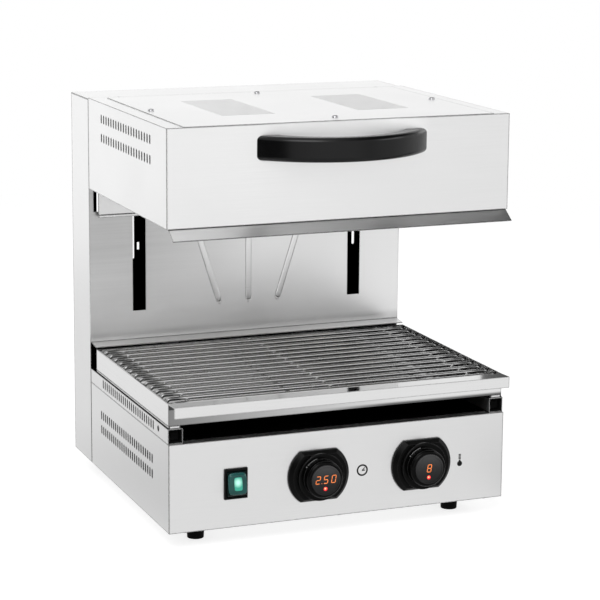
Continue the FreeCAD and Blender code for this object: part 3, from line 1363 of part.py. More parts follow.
# Knobs: flattened bezel on the panel, display housing through it, and the turning ring with its collar around that
for word, place in (("timer", s.timer_place), ("level", s.level_place)):
    flat_bezel = new_body(word + "_bezel_body")
    face = base_face - s.knob_bezel_thick
    big = s.knob_bezel_diameter / 2
    cut = s.knob_bezel_chamfer
    hole = s.spigot_diameter / 2 + s.ring_play
    profile = polygon(((hole, base_face), (big, base_face), (big, face + cut), (big - cut, face), (hole, face)))
    sketch = sketch_on(flat_bezel, "XY", ZERO, [profile])
    turned = flat_bezel.newObject("PartDesign::Revolution", flat_bezel.Name + "_turn")
    turned.Profile = sketch
    turned.ReferenceAxis = (sketch, ["V_Axis"])
    turned.Angle = 360
    flat = s.knob_bezel_height / 2
    pocket(flat_bezel, "YZ", -big - cut, big + cut,
           *[polygon(((base_face + s.skin, side * flat), (face + cut, side * flat), (face - s.skin, side * (flat - cut)),
                      (face - s.skin, side * (big + cut)), (base_face + s.skin, side * (big + cut))))
             for side in (-1, 1)])
    keep(flat_bezel, word + "_bezel")
    bind(flat_bezel, "Placement.Base.x", place)
    bind(flat_bezel, "Placement.Base.z", s.knob_level + s.foot_height)

    display = new_body(word + "_display_body")
    display_face = base_face - s.display_reach
    radius = s.display_diameter / 2
    rim = radius - s.display_rim
    spigot = s.spigot_diameter / 2
    profile = polygon(((ZERO, display_face + s.display_recess), (rim, display_face + s.display_recess),
                       (rim, display_face), (radius, display_face), (radius, face - s.clearance / 3),
                       (spigot, face - s.clearance / 3),
                       (spigot, face + s.spigot_length), (ZERO, face + s.spigot_length)))
    sketch = sketch_on(display, "XY", ZERO, [profile])
    turned = display.newObject("PartDesign::Revolution", display.Name + "_turn")
    turned.Profile = sketch
    turned.ReferenceAxis = (sketch, ["V_Axis"])
    turned.Angle = 360
    keep(display, word + "_display")
    bind(display, "Placement.Base.x", place)
    bind(display, "Placement.Base.z", s.knob_level + s.foot_height)

    ring = new_body(word + "_ring_body")
    bore = radius + s.ring_play
    outer = radius + s.ring_wall
    wide = outer + s.collar_reach
    ring_back = face - s.clearance
    ring_front = ring_back - s.ring_length
    collar_face = ring_back - s.collar_length
    sketch = sketch_on(ring, "XY", ZERO, [polygon((
        (bore, ring_front), (outer, ring_front), (outer, collar_face), (wide, collar_face), (wide, ring_back),
        (bore, ring_back)))])
    turned = ring.newObject("PartDesign::Revolution", ring.Name + "_turn")
    turned.Profile = sketch
    turned.ReferenceAxis = (sketch, ["V_Axis"])
    turned.Angle = 360
    rounded(ring, s.ring_round, lambda edge: edge.BoundBox.XLength > outer.number * 2 - 0.1
            and abs(edge.BoundBox.YMax - ring_front.number) < 0.01)
    rounded(ring, s.collar_round, lambda edge: edge.BoundBox.XLength > wide.number * 2 - 0.1
            and abs(edge.BoundBox.YMax - collar_face.number) < 0.01)
    aim = (cosine(s.mark_angle), sine(s.mark_angle))
    side_step = s.mark_width / 2
    corners = []
    for far, step in ((0, -1), (1, -1), (1, 1), (0, 1)):
        reach = outer + s.mark_gap + s.mark_length * far
        corners.append((aim[0] * reach - aim[1] * side_step * step, aim[1] * reach + aim[0] * side_step * step))
    pad(ring, "XZ", collar_face - s.mark_height, collar_face + s.collar_round, polygon(corners))
    keep(ring, word + "_ring")
    bind(ring, "Placement.Base.x", place)
    bind(ring, "Placement.Base.z", s.knob_level + s.foot_height)

# Encoder modules on the spigots behind the panel
encoders = []
spigot_end = base_face - s.knob_bezel_thick + s.spigot_length
for index, place in enumerate((s.timer_place, s.level_place)):
    board = box("encoder_board_%d" % index, (place - s.encoder_board / 2, place + s.encoder_board / 2),
                (spigot_end, spigot_end + s.board_thick),
                (s.knob_level - s.encoder_board / 2, s.knob_level + s.encoder_board / 2))
    can = rod("encoder_can_%d" % index, "y", (place, spigot_end + s.board_thick, s.knob_level), s.encoder_length,
              s.encoder_diameter / 2)
    encoders.append(fused("encoder_%d" % index, (board, can)))
keep(group("encoders", encoders), "encoder_modules")

# Power board on four standoffs
board_low = floor_top + s.standoff_height
board_top = board_low + s.board_thick
board_x = (gland_place - s.power_board_edge, gland_place - s.power_board_edge + s.power_board_width)
board_y = (-s.power_board_front, -s.power_board_front + s.power_board_length)
board_parts = [box("power_plate", board_x, board_y, (board_low, board_top))]
for x in (board_x[0] + s.standoff_margin, board_x[1] - s.standoff_margin):
    for y in (board_y[0] + s.standoff_margin, board_y[1] - s.standoff_margin):
        board_parts.append(rod("standoff_%d" % len(board_parts), "z", (x, y, floor_top), s.standoff_height,
                               s.standoff_diameter / 2))
left = board_x[1] - s.standoff_margin - s.standoff_diameter - s.transformer_width
near = board_y[0] + s.standoff_margin
board_parts.append(box("transformer", (left, left + s.transformer_width), (near, near + s.transformer_length),
                       (board_top, board_top + s.transformer_height)))
socket_middle = gland_place
board_parts.append(box("socket", (socket_middle - s.connector_width / 2, socket_middle + s.connector_width / 2),
                       (board_y[1] - s.connector_length, board_y[1]),
                       (board_top, board_top + s.connector_height)))
keep(fused("power_board_body", board_parts), "power_board")

# Power relay with the finned heat sink on it
relay_x = (s.relay_left, s.relay_left + s.relay_width)
relay_y = (-s.relay_front, -s.relay_front + s.relay_length)
keep(group("relay", (box("relay_case", relay_x, relay_y, (floor_top, floor_top + s.relay_height)),)), "power_relay")
sink_low = floor_top + s.relay_height
sink_parts = [box("sink_plate", relay_x, relay_y, (sink_low, sink_low + s.sink_fin * 2))]
for index in range(int(s.sink_fin_count.number)):
    start = relay_x[0] + s.sink_fin_pitch * index
    sink_parts.append(box("sink_fin_%d" % index, (start, start + s.sink_fin), relay_y,
                          (sink_low, sink_low + s.sink_fin * 2 + s.sink_fin_height)))
keep(fused("sink", sink_parts), "relay_heat_sink")

# Terminal block for the supply, on the floor of the column
block_x = (gland_place - s.terminal_width / 2, gland_place + s.terminal_width / 2)
block_y = (s.terminal_front, s.terminal_front + s.terminal_length)
block_top = floor_top + s.terminal_height
block = box("block", block_x, block_y, (floor_top, block_top))
wells = []
for index in range(int(s.terminal_screw_count.number)):
    across = gland_place + s.terminal_screw_pitch * (index - (s.terminal_screw_count - 1) / 2)
    wells.append(rod("well_%d" % index, "z", (across, (block_y[0] + block_y[1]) / 2, floor_top + s.terminal_height / 2),
                     s.terminal_height, s.terminal_screw_diameter / 2))
keep(carved("terminal", block, wells), "terminal_block")

# Supply leads from the terminal block to the power board's socket
leads = []
for index in (-1, 0, 1):
    leads.append(rod("lead_%d" % (index + 1), "y",
                     (gland_place + s.lead_pitch * index, board_y[1], floor_top + s.lead_level),
                     block_y[0] - board_y[1], s.lead_diameter / 2))
keep(group("leads", leads), "supply_leads")

# Safety limiter with its reset button
limiter = rod("limiter_case", "z", (s.limiter_place, -s.limiter_front, floor_top), s.limiter_height,
              s.limiter_diameter / 2)
button = rod("limiter_button_stem", "z", (s.limiter_place, -s.limiter_front, floor_top),
             s.limiter_height + s.limiter_button / 2, s.limiter_button / 2)
keep(fused("limiter", (limiter, button)), "safety_limiter")

# Cable gland in the rear cover
gland_parts = [rod("gland_thread_part", "y", (gland_place, column_back - s.skin - s.gland_inside, s.gland_level),
                   s.gland_inside + s.skin + s.gland_reach, s.gland_thread / 2)]
for name, start, length in (("outer", column_back, s.gland_nut_length),
                            ("inner", column_back - s.skin - s.gland_nut_length, s.gland_nut_length)):
    hexagon = doc.addObject("Part::Prism", "gland_nut_" + name)
    hexagon.Placement = FreeCAD.Placement(FreeCAD.Vector(), TURNS["y"])
    put(hexagon, (gland_place, start, s.gland_level))
    hexagon.Polygon = 6
    bind(hexagon, "Circumradius", s.gland_nut / math.sqrt(3))
    bind(hexagon, "Height", length)
    gland_parts.append(hexagon)
gland_bore = rod("gland_bore_cut", "y", (gland_place, column_back - s.skin - s.gland_inside * 2, s.gland_level),
                 s.gland_inside * 2 + s.skin + s.gland_reach * 2, s.gland_bore / 2)
keep(carved("gland", fused("gland_body", gland_parts), (gland_bore,)), "cable_gland")

# Checks and files
doc.recompute()
for thing in doc.Objects:
    if "Invalid" in thing.State or "Error" in thing.State:
        raise RuntimeError("%s is %s" % (thing.Name, thing.State))
for node in nodes:
    shape = node.Shape
    if shape.isNull() or not shape.isValid() or not shape.Solids:
        raise RuntimeError("bad shape in " + node.Label)

os.makedirs("parts", exist_ok=True)
for node in nodes:
    node.Shape.exportStep(os.path.join("parts", node.Label + ".step"))
    bounds = node.Shape.BoundBox
    print("%-24s %2d solids  x %7.1f %7.1f  y %7.1f %7.1f  z %6.1f %6.1f" % (
        node.Label, len(node.Shape.Solids), bounds.XMin, bounds.XMax, bounds.YMin, bounds.YMax,
        bounds.ZMin, bounds.ZMax))
print("%d nodes" % len(nodes))
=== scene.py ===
"""Salamander grill, lift type: finishes, printed marks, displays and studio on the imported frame.

Each piece or group of like pieces is an operator, and the sizes and colours are in the property groups.
"""

import math

import bmesh
import bpy
from bpy.props import FloatProperty, FloatVectorProperty, IntProperty, PointerProperty, StringProperty
from mathutils import Matrix, Vector
from mathutils.bvhtree import BVHTree


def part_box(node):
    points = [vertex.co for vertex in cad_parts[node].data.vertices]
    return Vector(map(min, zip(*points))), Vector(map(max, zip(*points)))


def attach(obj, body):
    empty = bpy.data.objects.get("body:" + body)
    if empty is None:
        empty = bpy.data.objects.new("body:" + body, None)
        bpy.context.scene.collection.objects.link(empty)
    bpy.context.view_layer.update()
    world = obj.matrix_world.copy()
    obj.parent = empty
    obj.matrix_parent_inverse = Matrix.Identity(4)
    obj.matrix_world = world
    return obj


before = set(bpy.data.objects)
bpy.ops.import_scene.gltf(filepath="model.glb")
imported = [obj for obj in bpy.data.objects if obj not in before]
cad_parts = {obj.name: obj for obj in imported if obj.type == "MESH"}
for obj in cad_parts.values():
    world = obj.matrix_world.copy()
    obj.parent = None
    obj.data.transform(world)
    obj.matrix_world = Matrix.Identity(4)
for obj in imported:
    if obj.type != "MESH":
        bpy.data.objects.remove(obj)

bl_info = {
    "name": "Salamander Grill Finisher",
    "version": (1, 0, 0),
    "blender": (4, 5, 0),
    "location": "View3D > Sidebar > Salamander",
    "description": "Finishes, marks, displays and a studio for a lift salamander grill",
    "category": "Object",
}


def middle(name):
    """Centre of a CAD node's box."""
    low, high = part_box(name)
    return (low + high) / 2


PANEL_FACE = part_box("front_panel")[0].y
TIMER_CENTRE = middle("timer_display")
LEVEL_CENTRE = middle("level_display")
ROCKER_CENTRE = middle("switch_rocker")
TRAY_LOW, TRAY_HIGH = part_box("tray_pan")
HANDLE_LOW, HANDLE_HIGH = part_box("hood_handle")


# ---------------------------------------------------------------- sizes and colours

def colour(name, description, *tone):
    """A colour; a single number stands for a grey."""
    return FloatVectorProperty(name=name, description=description, subtype="COLOR", size=3, min=0, max=1,
                               default=tone * 3 if len(tone) == 1 else tone)


def length(name, description, default):
    """A length in metres."""
    return FloatProperty(name=name, description=description, unit="LENGTH", subtype="DISTANCE", precision=4,
                         default=default)


def share(name, description, default, top=1):
    """A part of a whole, or up to `top` times it."""
    return FloatProperty(name=name, description=description, subtype="FACTOR", min=0, max=top, default=default)


def angle(name, description, degrees):
    """An angle, given in degrees."""
    return FloatProperty(name=name, description=description, unit="ROTATION", subtype="ANGLE",
                         default=math.radians(degrees))


def power(name, description, watts):
    """The power of a lamp."""
    return FloatProperty(name=name, description=description, unit="POWER", default=watts)


class FinishSettings(bpy.types.PropertyGroup):
    """Colours, roughness and relief of the finishes"""
    black_shine: share("Black shine", "Specular level of the black mouldings", 0.07)
    steel: colour("Steel", "Colour of the satin stainless skin", 0.80)
    steel_shade: colour("Steel shade", "Darker tone of the satin stainless skin", 0.77)
    # painted light on the palest places of the stainless skin: above the hood's handle and above the back panel's
    # foot
    steel_painted_light: colour("Bright steel", "Colour of the palest places of the stainless skin", 0.98)
    # painted shade of the back panel towards its upper left and along its foot
    steel_painted_shade: colour("Dull steel", "Colour of the back panel towards its upper left", 0.42)
    # painted shade along the cut and folded edges, and in the seams and slots, of the stainless skin
    steel_edge_shade: colour("Steel edge", "Dark line along the cut and folded edges of the stainless skin", 0.02)
    steel_roughness: share("Steel roughness", "Roughness of the satin stainless skin", 0.33)
    steel_spread: share("Steel spread", "How far the roughness of the stainless skin varies", 0.05)
    tray: colour("Tray", "Colour of the bright tray sheet", 0.88)
    # painted shade on the right of the pan's floor and on the tray's front wall
    tray_painted_shade: colour("Tray tint", "Colour of the heat tinted part of the pan's floor", 0.15)
    # painted reflection of the grate on the flat of the tray's lip
    lip_painted_reflection: colour("Lip flat", "Colour of the flat of the tray's lip at its left end", 0.34)
    tray_roughness: share("Tray roughness", "Roughness of the bright tray sheet", 0.08)
    wire: colour("Wire", "Colour of the polished grate wire", 0.66)
    wire_roughness: share("Wire roughness", "Roughness of the polished grate wire", 0.20)
    black_coat: colour("Black coat", "Colour of the matt black coated steel", 0.0010)
    handle: colour("Handle", "Colour of the handle moulding", 0.0030, 0.0030, 0.0032)
    handle_roughness: share("Handle roughness", "Roughness of the handle moulding", 0.22)
    knob: colour("Knob", "Colour of the glossy turning rings", 0.0014)
    knob_roughness: share("Knob roughness", "Roughness of the glossy turning rings", 0.13)
    bezel: colour("Bezel", "Colour of the satin bezels", 0.0018)
    bezel_roughness: share("Bezel roughness", "Roughness of the satin bezels", 0.34)
    window_low: colour("Display foot", "Colour of the display window at its foot", 0.010, 0.010, 0.0105)
    # painted reflection: the window's colour at its head
    window_head_reflection: colour("Display head", "Colour of the display window at its head", 0.074, 0.074, 0.075)
    rocker: colour("Rocker", "Colour of the rocker moulding", 0.005, 0.060, 0.054)
    grain_depth: length("Grain depth", "Depth of the brushed lines in the steel", 0.00002)
    edge_radius: length("Edge radius", "Radius that softens the folded steel edges", 0.0004)
    # widths of the painted shade along the steel edges and in its gaps and slots
    edge_line: length("Edge line", "Width of the dark line along the steel edges", 0.0020)
    seam_reach: length("Seam reach", "Width of the gaps that show dark in the steel", 0.0025)


class MarkSettings(bpy.types.PropertyGroup):
    """The displays, lamps, printed symbols and the rocker's window"""
    timer_reading: StringProperty(name="Timer reading", description="Digits and point on the timer display",
                                  default="2.50")
    level_reading: StringProperty(name="Level reading", description="Digits on the power level display", default="8")
    digit_height: length("Digit height", "Height of a digit on the displays", 0.0106)
    digit_width: length("Digit width", "Width of a digit on the displays", 0.0062)
    digit_pitch: length("Digit pitch", "Distance from one digit to the next", 0.0109)
    digit_stroke: length("Digit stroke", "Width of one stroke of a digit", 0.0009)
    digit_slant: angle("Digit slant", "Lean of the digits to the right", 9)
    digit_rise: length("Digit rise", "Height of the digits' middle above the knob centre", 0.0012)
    digit_glow: colour("Digit glow", "Colour of the lit digits", 1.0, 0.25, 0.055)
    lamp_drop: length("Lamp drop", "Distance of the status lamp below the knob centre", 0.0112)
    lamp_diameter: length("Lamp diameter", "Diameter of the status lamp", 0.0052)
    lamp_glow: colour("Lamp glow", "Colour of the lit status lamp", 0.85, 0.008, 0.02)
    ink: colour("Ink", "Colour of the printed symbols", 0.003)
    clock_place: length("Clock place", "Distance of the clock symbol right of the middle", 0.0310)
    clock_radius: length("Clock radius", "Outer radius of the clock symbol", 0.0080)
    thermometer_place: length("Thermometer place", "Distance of the thermometer symbol right of the middle", 0.1736)
    symbol_stroke: length("Symbol stroke", "Line width of the printed symbols", 0.0022)
    # pale tone of the dot and of the arc on the knob collars, and the arc's radius
    pointer_ink: colour("Pointer ink", "Colour of the arc printed on the knob collars", 0.34)
    pointer_reach: length("Pointer reach", "Radius of the arc printed on the knob collars", 0.0270)
    cap_width: length("Cap width", "Width of the rounded face of the rocker", 0.0255)
    cap_height: length("Cap height", "Height of the rounded face of the rocker", 0.0282)
    cap_crown: length("Cap crown", "Height of the rounded face above the rocker", 0.0036)
    lens_width: length("Lens width", "Width of the rocker's lit window", 0.0110)
    lens_height: length("Lens height", "Height of the rocker's lit window", 0.0170)
    lens_glow: colour("Lens glow", "Colour of the rocker's lit window", 0.03, 0.34, 0.24)


class FittingSettings(bpy.types.PropertyGroup):
    """Screw heads, pressed beads and welds"""
    head_diameter: length("Screw head diameter", "Diameter of a domed screw head", 0.0084)
    head_height: length("Screw head height", "Height of a low domed screw head", 0.0026)
    recess_depth: length("Recess depth", "Depth of the cross recess in a screw head", 0.0005)
    bead_width: length("Bead width", "Width of a pressed bead of the back panel", 0.0090)
    bead_height: length("Bead height", "Height of a pressed bead of the back panel", 0.00065)
    weld_diameter: length("Weld diameter", "Diameter of a weld bead on the grate", 0.0018)
    weld_seed: IntProperty(name="Weld seed", description="Chooses how uneven each weld bead is", default=7)


class StudioSettings(bpy.types.PropertyGroup):
    """The camera, the floor and the lamps"""
    camera_place: FloatVectorProperty(name="Camera place", description="Where the camera stands",
                                      subtype="TRANSLATION", unit="LENGTH", size=3,
                                      default=(-1.0690, -2.7010, 0.8980))
    camera_azimuth: angle("Camera azimuth", "Turn of the camera from the front", -21.36)
    camera_elevation: angle("Camera elevation", "Angle of the camera above the horizon", 10.77)
    camera_roll: angle("Camera roll", "Roll of the camera about its axis", 0.33)
    focal_length: FloatProperty(name="Focal length", description="Focal length of the camera in millimetres",
                                unit="CAMERA", default=128.9)
    shift_across: FloatProperty(name="Shift across", description="Sideways shift of the picture frame",
                                default=0.0365)
    shift_up: FloatProperty(name="Shift up", description="Upward shift of the picture frame", default=-0.0837)
    floor_tone: colour("Floor tone", "Colour of the pale floor", 0.40)
    floor_lift: share("Floor lift", "Light that the camera sees on the floor beside the lamps' own", 0.74)
    floor_radius: length("Floor radius", "Radius of the floor", 40.0)
    fade_start: length("Fade start", "Distance where the floor begins to turn plain white", 1.1)
    fade_end: length("Fade end", "Distance where the floor is plain white", 2.6)
    sky_level: share("Sky level", "Light of the surroundings on the object", 0.55, 2)
    key_power: power("Key power", "Power of the large lamp above the front", 55)
    fill_power: power("Fill power", "Power of the lamp on the right", 22)
    back_power: power("Back power", "Power of the lamp behind on the left", 26)


GROUPS = {"salamander_finish": FinishSettings, "salamander_marks": MarkSettings,
          "salamander_fittings": FittingSettings, "salamander_studio": StudioSettings}


def finish():
    """The scene's finish settings."""
    return bpy.context.scene.salamander_finish


def marks():
    """The scene's settings of displays, lamps and symbols."""
    return bpy.context.scene.salamander_marks


def fittings():
    """The scene's settings of screw heads, beads and welds."""
    return bpy.context.scene.salamander_fittings


def studio():
    """The scene's settings of camera, floor and lamps."""
    return bpy.context.scene.salamander_studio


# ---------------------------------------------------------------- nodes

WHITE = (1, 1, 1)
# sockets of a colour Mix node
MIX_FACTOR, MIX_FIRST, MIX_SECOND, MIX_RESULT = 0, 6, 7, 2


def add_node(tree, kind, inputs=(), **settings):
    """Adds a node; an input that is a socket is linked, any other value is set."""
    made = tree.nodes.new(kind)
    for key, value in settings.items():
        setattr(made, key, value)
    for key, value in dict(inputs).items():
        socket = made.inputs[key]
        if isinstance(value, bpy.types.NodeSocket):
            tree.links.new(value, socket)
        else:
            socket.default_value = (*value, 1) if socket.type == "RGBA" else value
    return made


def math_node(tree, operation, *values, clamp=False):
    """Result of a Math node."""
    return add_node(tree, "ShaderNodeMath", enumerate(values), operation=operation, use_clamp=clamp).outputs[0]


def product(tree, first, *others):
    """All the values multiplied, one after another."""
    for other in others:
        first = math_node(tree, "MULTIPLY", first, other)
    return first


def remap(tree, value, low, high, to_low=0.0, to_high=1.0, interpolation="LINEAR"):
    """Carries a value from one range to another and keeps it there."""
    return add_node(tree, "ShaderNodeMapRange", {
        "Value": value, "From Min": low, "From Max": high, "To Min": to_low, "To Max": to_high,
    }, interpolation_type=interpolation).outputs["Result"]


def smooth(tree, value, low, high, to_low=0.0, to_high=1.0):
    """The same with soft ends."""
    return remap(tree, value, low, high, to_low, to_high, "SMOOTHSTEP")


def blend_colours(tree, mask, first, second):
    """Blends two colours or colour sockets by a mask."""
    return add_node(tree, "ShaderNodeMix", {MIX_FACTOR: mask, MIX_FIRST: first, MIX_SECOND: second},
                    data_type="RGBA").outputs[MIX_RESULT]


def place_of(tree, output="Object"):
    """X, Y and Z of the shaded point, or of its face's normal."""
    place = add_node(tree, "ShaderNodeTexCoord").outputs[output]
    return add_node(tree, "ShaderNodeSeparateXYZ", {0: place}).outputs


def distance_of(tree, vector):
    """Length of a vector."""
    return add_node(tree, "ShaderNodeVectorMath", {0: vector}, operation="LENGTH").outputs["Value"]


def brushed_grain(tree, given):
    """Long fine lines, level on upright faces and from side to side on flat ones."""
    facing, spot = place_of(tree, "Normal"), place_of(tree)
    flat = math_node(tree, "GREATER_THAN", math_node(tree, "ABSOLUTE", facing["Z"]), 0.5)
    line = add_node(tree, "ShaderNodeCombineXYZ", {
        "X": product(tree, spot["X"], given["Stretch"]),
        "Y": product(tree, spot["Y"], remap(tree, flat, 0, 1, given["Stretch"], 1.0)),
        "Z": spot["Z"]})
    noise = add_node(tree, "ShaderNodeTexNoise", {
        "Vector": line.outputs[0], "Scale": given["Lines"], "Detail": 3, "Roughness": 0.6})
    return {"Grain": noise.outputs["Fac"]}


def handling_marks(tree, given):
    """Soft clouds such as wiping and handling leave."""
    place = add_node(tree, "ShaderNodeTexCoord").outputs["Object"]
    noise = add_node(tree, "ShaderNodeTexNoise", {
        "Vector": place, "Scale": given["Size"], "Detail": 4, "Roughness": 0.55, "Distortion": 0.4})
    spread = product(tree, math_node(tree, "SUBTRACT", noise.outputs["Fac"], 0.5), given["Contrast"])
    return {"Mask": math_node(tree, "ADD", spread, 0.5, clamp=True)}


def moulded_skin(tree, given):
    """The faint pebbled skin of a moulding or a coat of paint."""
    place = add_node(tree, "ShaderNodeTexCoord").outputs["Object"]
    coarse = add_node(tree, "ShaderNodeTexNoise", {
        "Vector": place, "Scale": given["Fineness"], "Detail": 2, "Roughness": 0.5})
    cells = add_node(tree, "ShaderNodeTexVoronoi", {"Vector": place, "Scale": given["Fineness"]}, feature="SMOOTH_F1")
    return {"Height": math_node(tree, "MULTIPLY_ADD", cells.outputs["Distance"], 0.5, coarse.outputs["Fac"])}


def speckle(tree, given):
    """Small patches of differing tone, such as zinc flowers or mineral specks."""
    place = add_node(tree, "ShaderNodeTexCoord").outputs["Object"]
    cells = add_node(tree, "ShaderNodeTexVoronoi", {"Vector": place, "Scale": given["Fineness"]})
    return {"Mask": add_node(tree, "ShaderNodeSeparateColor", {0: cells.outputs["Color"]}).outputs[0]}


def soft_edge(tree, given):
    """Rounds sharp edges in the shading, and masks them for the painted tone along folded and cut edges: painted
    shade on the dark lined sheets, painted highlights on the others.
    """
    rounded = add_node(tree, "ShaderNodeBevel", {"Radius": given["Radius"]}, samples=4).outputs[0]
    plain = add_node(tree, "ShaderNodeNewGeometry").outputs["Normal"]
    likeness = add_node(tree, "ShaderNodeVectorMath", {0: rounded, 1: plain}, operation="DOT_PRODUCT")
    return {"Normal": rounded, "Edge": remap(tree, likeness.outputs["Value"], 0.999, 0.93)}


def crevice(tree, given):
    """Masks slots, seams and inside corners, where a surface faces another close by, for painted shade."""
    nearby = add_node(tree, "ShaderNodeAmbientOcclusion", {"Distance": given["Reach"]}, samples=6)
    return {"Mask": remap(tree, nearby.outputs["AO"], 0.80, 0.35)}


# each effect's builder, inputs with their defaults, and outputs
EFFECTS = {
    "Brushed grain": (brushed_grain, {"Lines": 700, "Stretch": 0.02}, {"Grain": "NodeSocketFloat"}),
    "Handling marks": (handling_marks, {"Size": 9, "Contrast": 3}, {"Mask": "NodeSocketFloat"}),
    "Moulded skin": (moulded_skin, {"Fineness": 2600}, {"Height": "NodeSocketFloat"}),
    "Speckle": (speckle, {"Fineness": 300}, {"Mask": "NodeSocketFloat"}),
    "Soft edge": (soft_edge, {"Radius": 0.0005}, {"Normal": "NodeSocketVector", "Edge": "NodeSocketFloat"}),
    "Crevice": (crevice, {"Reach": 0.003}, {"Mask": "NodeSocketFloat"}),
}
BUILT = {}


def effect(tree, name, **values):
    """Places a shared effect in a material with its own values; its group is built once."""
    if name not in BUILT:
        build, inputs, outputs = EFFECTS[name]
        group = BUILT[name] = bpy.data.node_groups.new(name, "ShaderNodeTree")
        for key, default in inputs.items():
            socket = group.interface.new_socket(name=key, in_out="INPUT", socket_type="NodeSocketFloat")
            socket.default_value = default
        for key, kind in outputs.items():
            group.interface.new_socket(name=key, in_out="OUTPUT", socket_type=kind)
        add_node(group, "NodeGroupOutput", build(group, add_node(group, "NodeGroupInput").outputs))
    return add_node(tree, "ShaderNodeGroup", values, node_tree=BUILT[name]).outputs


def clouds(tree, size, contrast=3):
    """Mask of soft handling marks."""
    return effect(tree, "Handling marks", Size=size, Contrast=contrast)["Mask"]


def pebbles(tree, fineness):
    """Height of a moulded skin."""
    return effect(tree, "Moulded skin", Fineness=fineness)["Height"]


def rounded(tree, radius=0.0005):
    """Normal that softens the edges."""
    return effect(tree, "Soft edge", Radius=radius)["Normal"]


def new_material(name, **sockets):
    """A material with one Principled shader; returns the material, its tree and the shader."""
    made = bpy.data.materials.new(name)
    made.use_nodes = True
    shader = made.node_tree.nodes["Principled BSDF"]
    for key, value in sockets.items():
        shader.inputs[key.replace("_", " ")].default_value = value
    return made, made.node_tree, shader


def skin_of(made):
    """Tree and shader of a finished material, and the socket that feeds its colour."""
    shader = made.node_tree.nodes["Principled BSDF"]
    return made.node_tree, shader, shader.inputs["Base Color"].links[0].from_socket


def feed(tree, shader, **links):
    """Links sockets to the shader's inputs."""
    for key, socket in links.items():
        tree.links.new(socket, shader.inputs[key.replace("_", " ")])


def bump(tree, shader, height, depth, normal=None):
    """Raises the skin by a height map, on top of a normal if one is given."""
    values = {"Height": height, "Distance": depth, "Strength": 1.0}
    if normal is not None:
        values["Normal"] = normal
    feed(tree, shader, Normal=add_node(tree, "ShaderNodeBump", values).outputs[0])


def scaled(tone, factor):
    """A lighter or darker tone of the same hue."""
    return [min(1, c * factor) for c in tone]


# ---------------------------------------------------------------- finishes

def sheet_metal(name, bright, shade, roughness, spread, depth, lines=700, line=None, seams=0.0):
    """Rolled or brushed sheet: level grain, faint wiping marks, a softened edge, a painted line along its edges that
    is painted shade in a dark line colour and a painted highlight in the lighter default, and painted shade in slots
    and seams when seams are given.
    """
    made, tree, shader = new_material(name, Metallic=1.0)
    grain = effect(tree, "Brushed grain", Lines=lines)["Grain"]
    wiped = clouds(tree, 7, 2.5)
    # rim masks the painted line along the edges, and with seams also the painted shade in slots, seams and inside
    # corners
    rim = effect(tree, "Soft edge", Radius=finish().edge_line)["Edge"]
    if seams:
        rim = math_node(tree, "MAXIMUM", rim, effect(tree, "Crevice", Reach=seams)["Mask"])
    streaks = blend_colours(tree, remap(tree, grain, 0.3, 0.7), shade, bright)
    tone = blend_colours(tree, wiped, streaks, shade)
    uneven = math_node(tree, "MULTIPLY_ADD", grain, 0.7, product(tree, wiped, 0.3))
    feed(tree, shader, Base_Color=blend_colours(tree, rim, tone, line or scaled(bright, 1.1)),
         Roughness=remap(tree, uneven, 0.2, 0.8, roughness - spread, roughness + spread))
    bump(tree, shader, grain, depth, rounded(tree, finish().edge_radius))
    return made


def satin_stainless(name="Satin stainless", seams=True):
    """The stainless skin of the grill, with painted shade along its edges, and also in its seams and slots when seams
    is set.
    """
    f = finish()
    return sheet_metal(name, f.steel, f.steel_shade, f.steel_roughness, f.steel_spread, f.grain_depth,
                       line=f.steel_edge_shade, seams=f.seam_reach if seams else 0.0)


# (middle, half size) of the top cover's vent fields, aside to both hands and along y
VENTS_ASIDE, VENTS_ALONG = (0.0955, 0.045), (-0.022, 0.088)


def vented_cover():
    """The stainless of the top cover: painted shade along its outline, none round the fine slots of its two vent
    fields.
    """
    made = satin_stainless("Vented cover", seams=False)
    tree, _, plain = skin_of(made)
    spot = place_of(tree)
    across = math_node(tree, "COMPARE", math_node(tree, "ABSOLUTE", spot["X"]), *VENTS_ASIDE)
    field = product(tree, across, math_node(tree, "COMPARE", spot["Y"], *VENTS_ALONG))
    # no painted shade line round the fine slots
    outline = plain.node.inputs[MIX_FACTOR]
    drawn = product(tree, outline.links[0].from_socket, math_node(tree, "SUBTRACT", 1.0, field))
    tree.links.new(drawn, outline)
    return made


def hood_front_steel():
    """The hood's front sheet, rougher above the handle and painted paler there: painted light over the handle's
    reflection.
    """
    made = satin_stainless("Hood front steel")
    tree, shader, plain = skin_of(made)
    spot = place_of(tree)
    half = (HANDLE_HIGH.x - HANDLE_LOW.x) / 2
    aside = math_node(tree, "ABSOLUTE", math_node(tree, "SUBTRACT", spot["X"], HANDLE_LOW.x + half))
    # mask: where painted light covers the handle's reflection above the handle
    mask = product(tree, remap(tree, spot["Z"], HANDLE_HIGH.z + 0.040, HANDLE_HIGH.z + 0.012),
                   remap(tree, spot["Z"], HANDLE_LOW.z - 0.005, HANDLE_LOW.z + 0.012),
                   remap(tree, aside, half + 0.005, half - 0.045))
    worn = shader.inputs["Roughness"].links[0].from_socket
    feed(tree, shader, Base_Color=blend_colours(tree, product(tree, mask, 0.7), plain, finish().steel_painted_light),
         Roughness=math_node(tree, "ADD", worn, product(tree, mask, 0.24)))
    return made


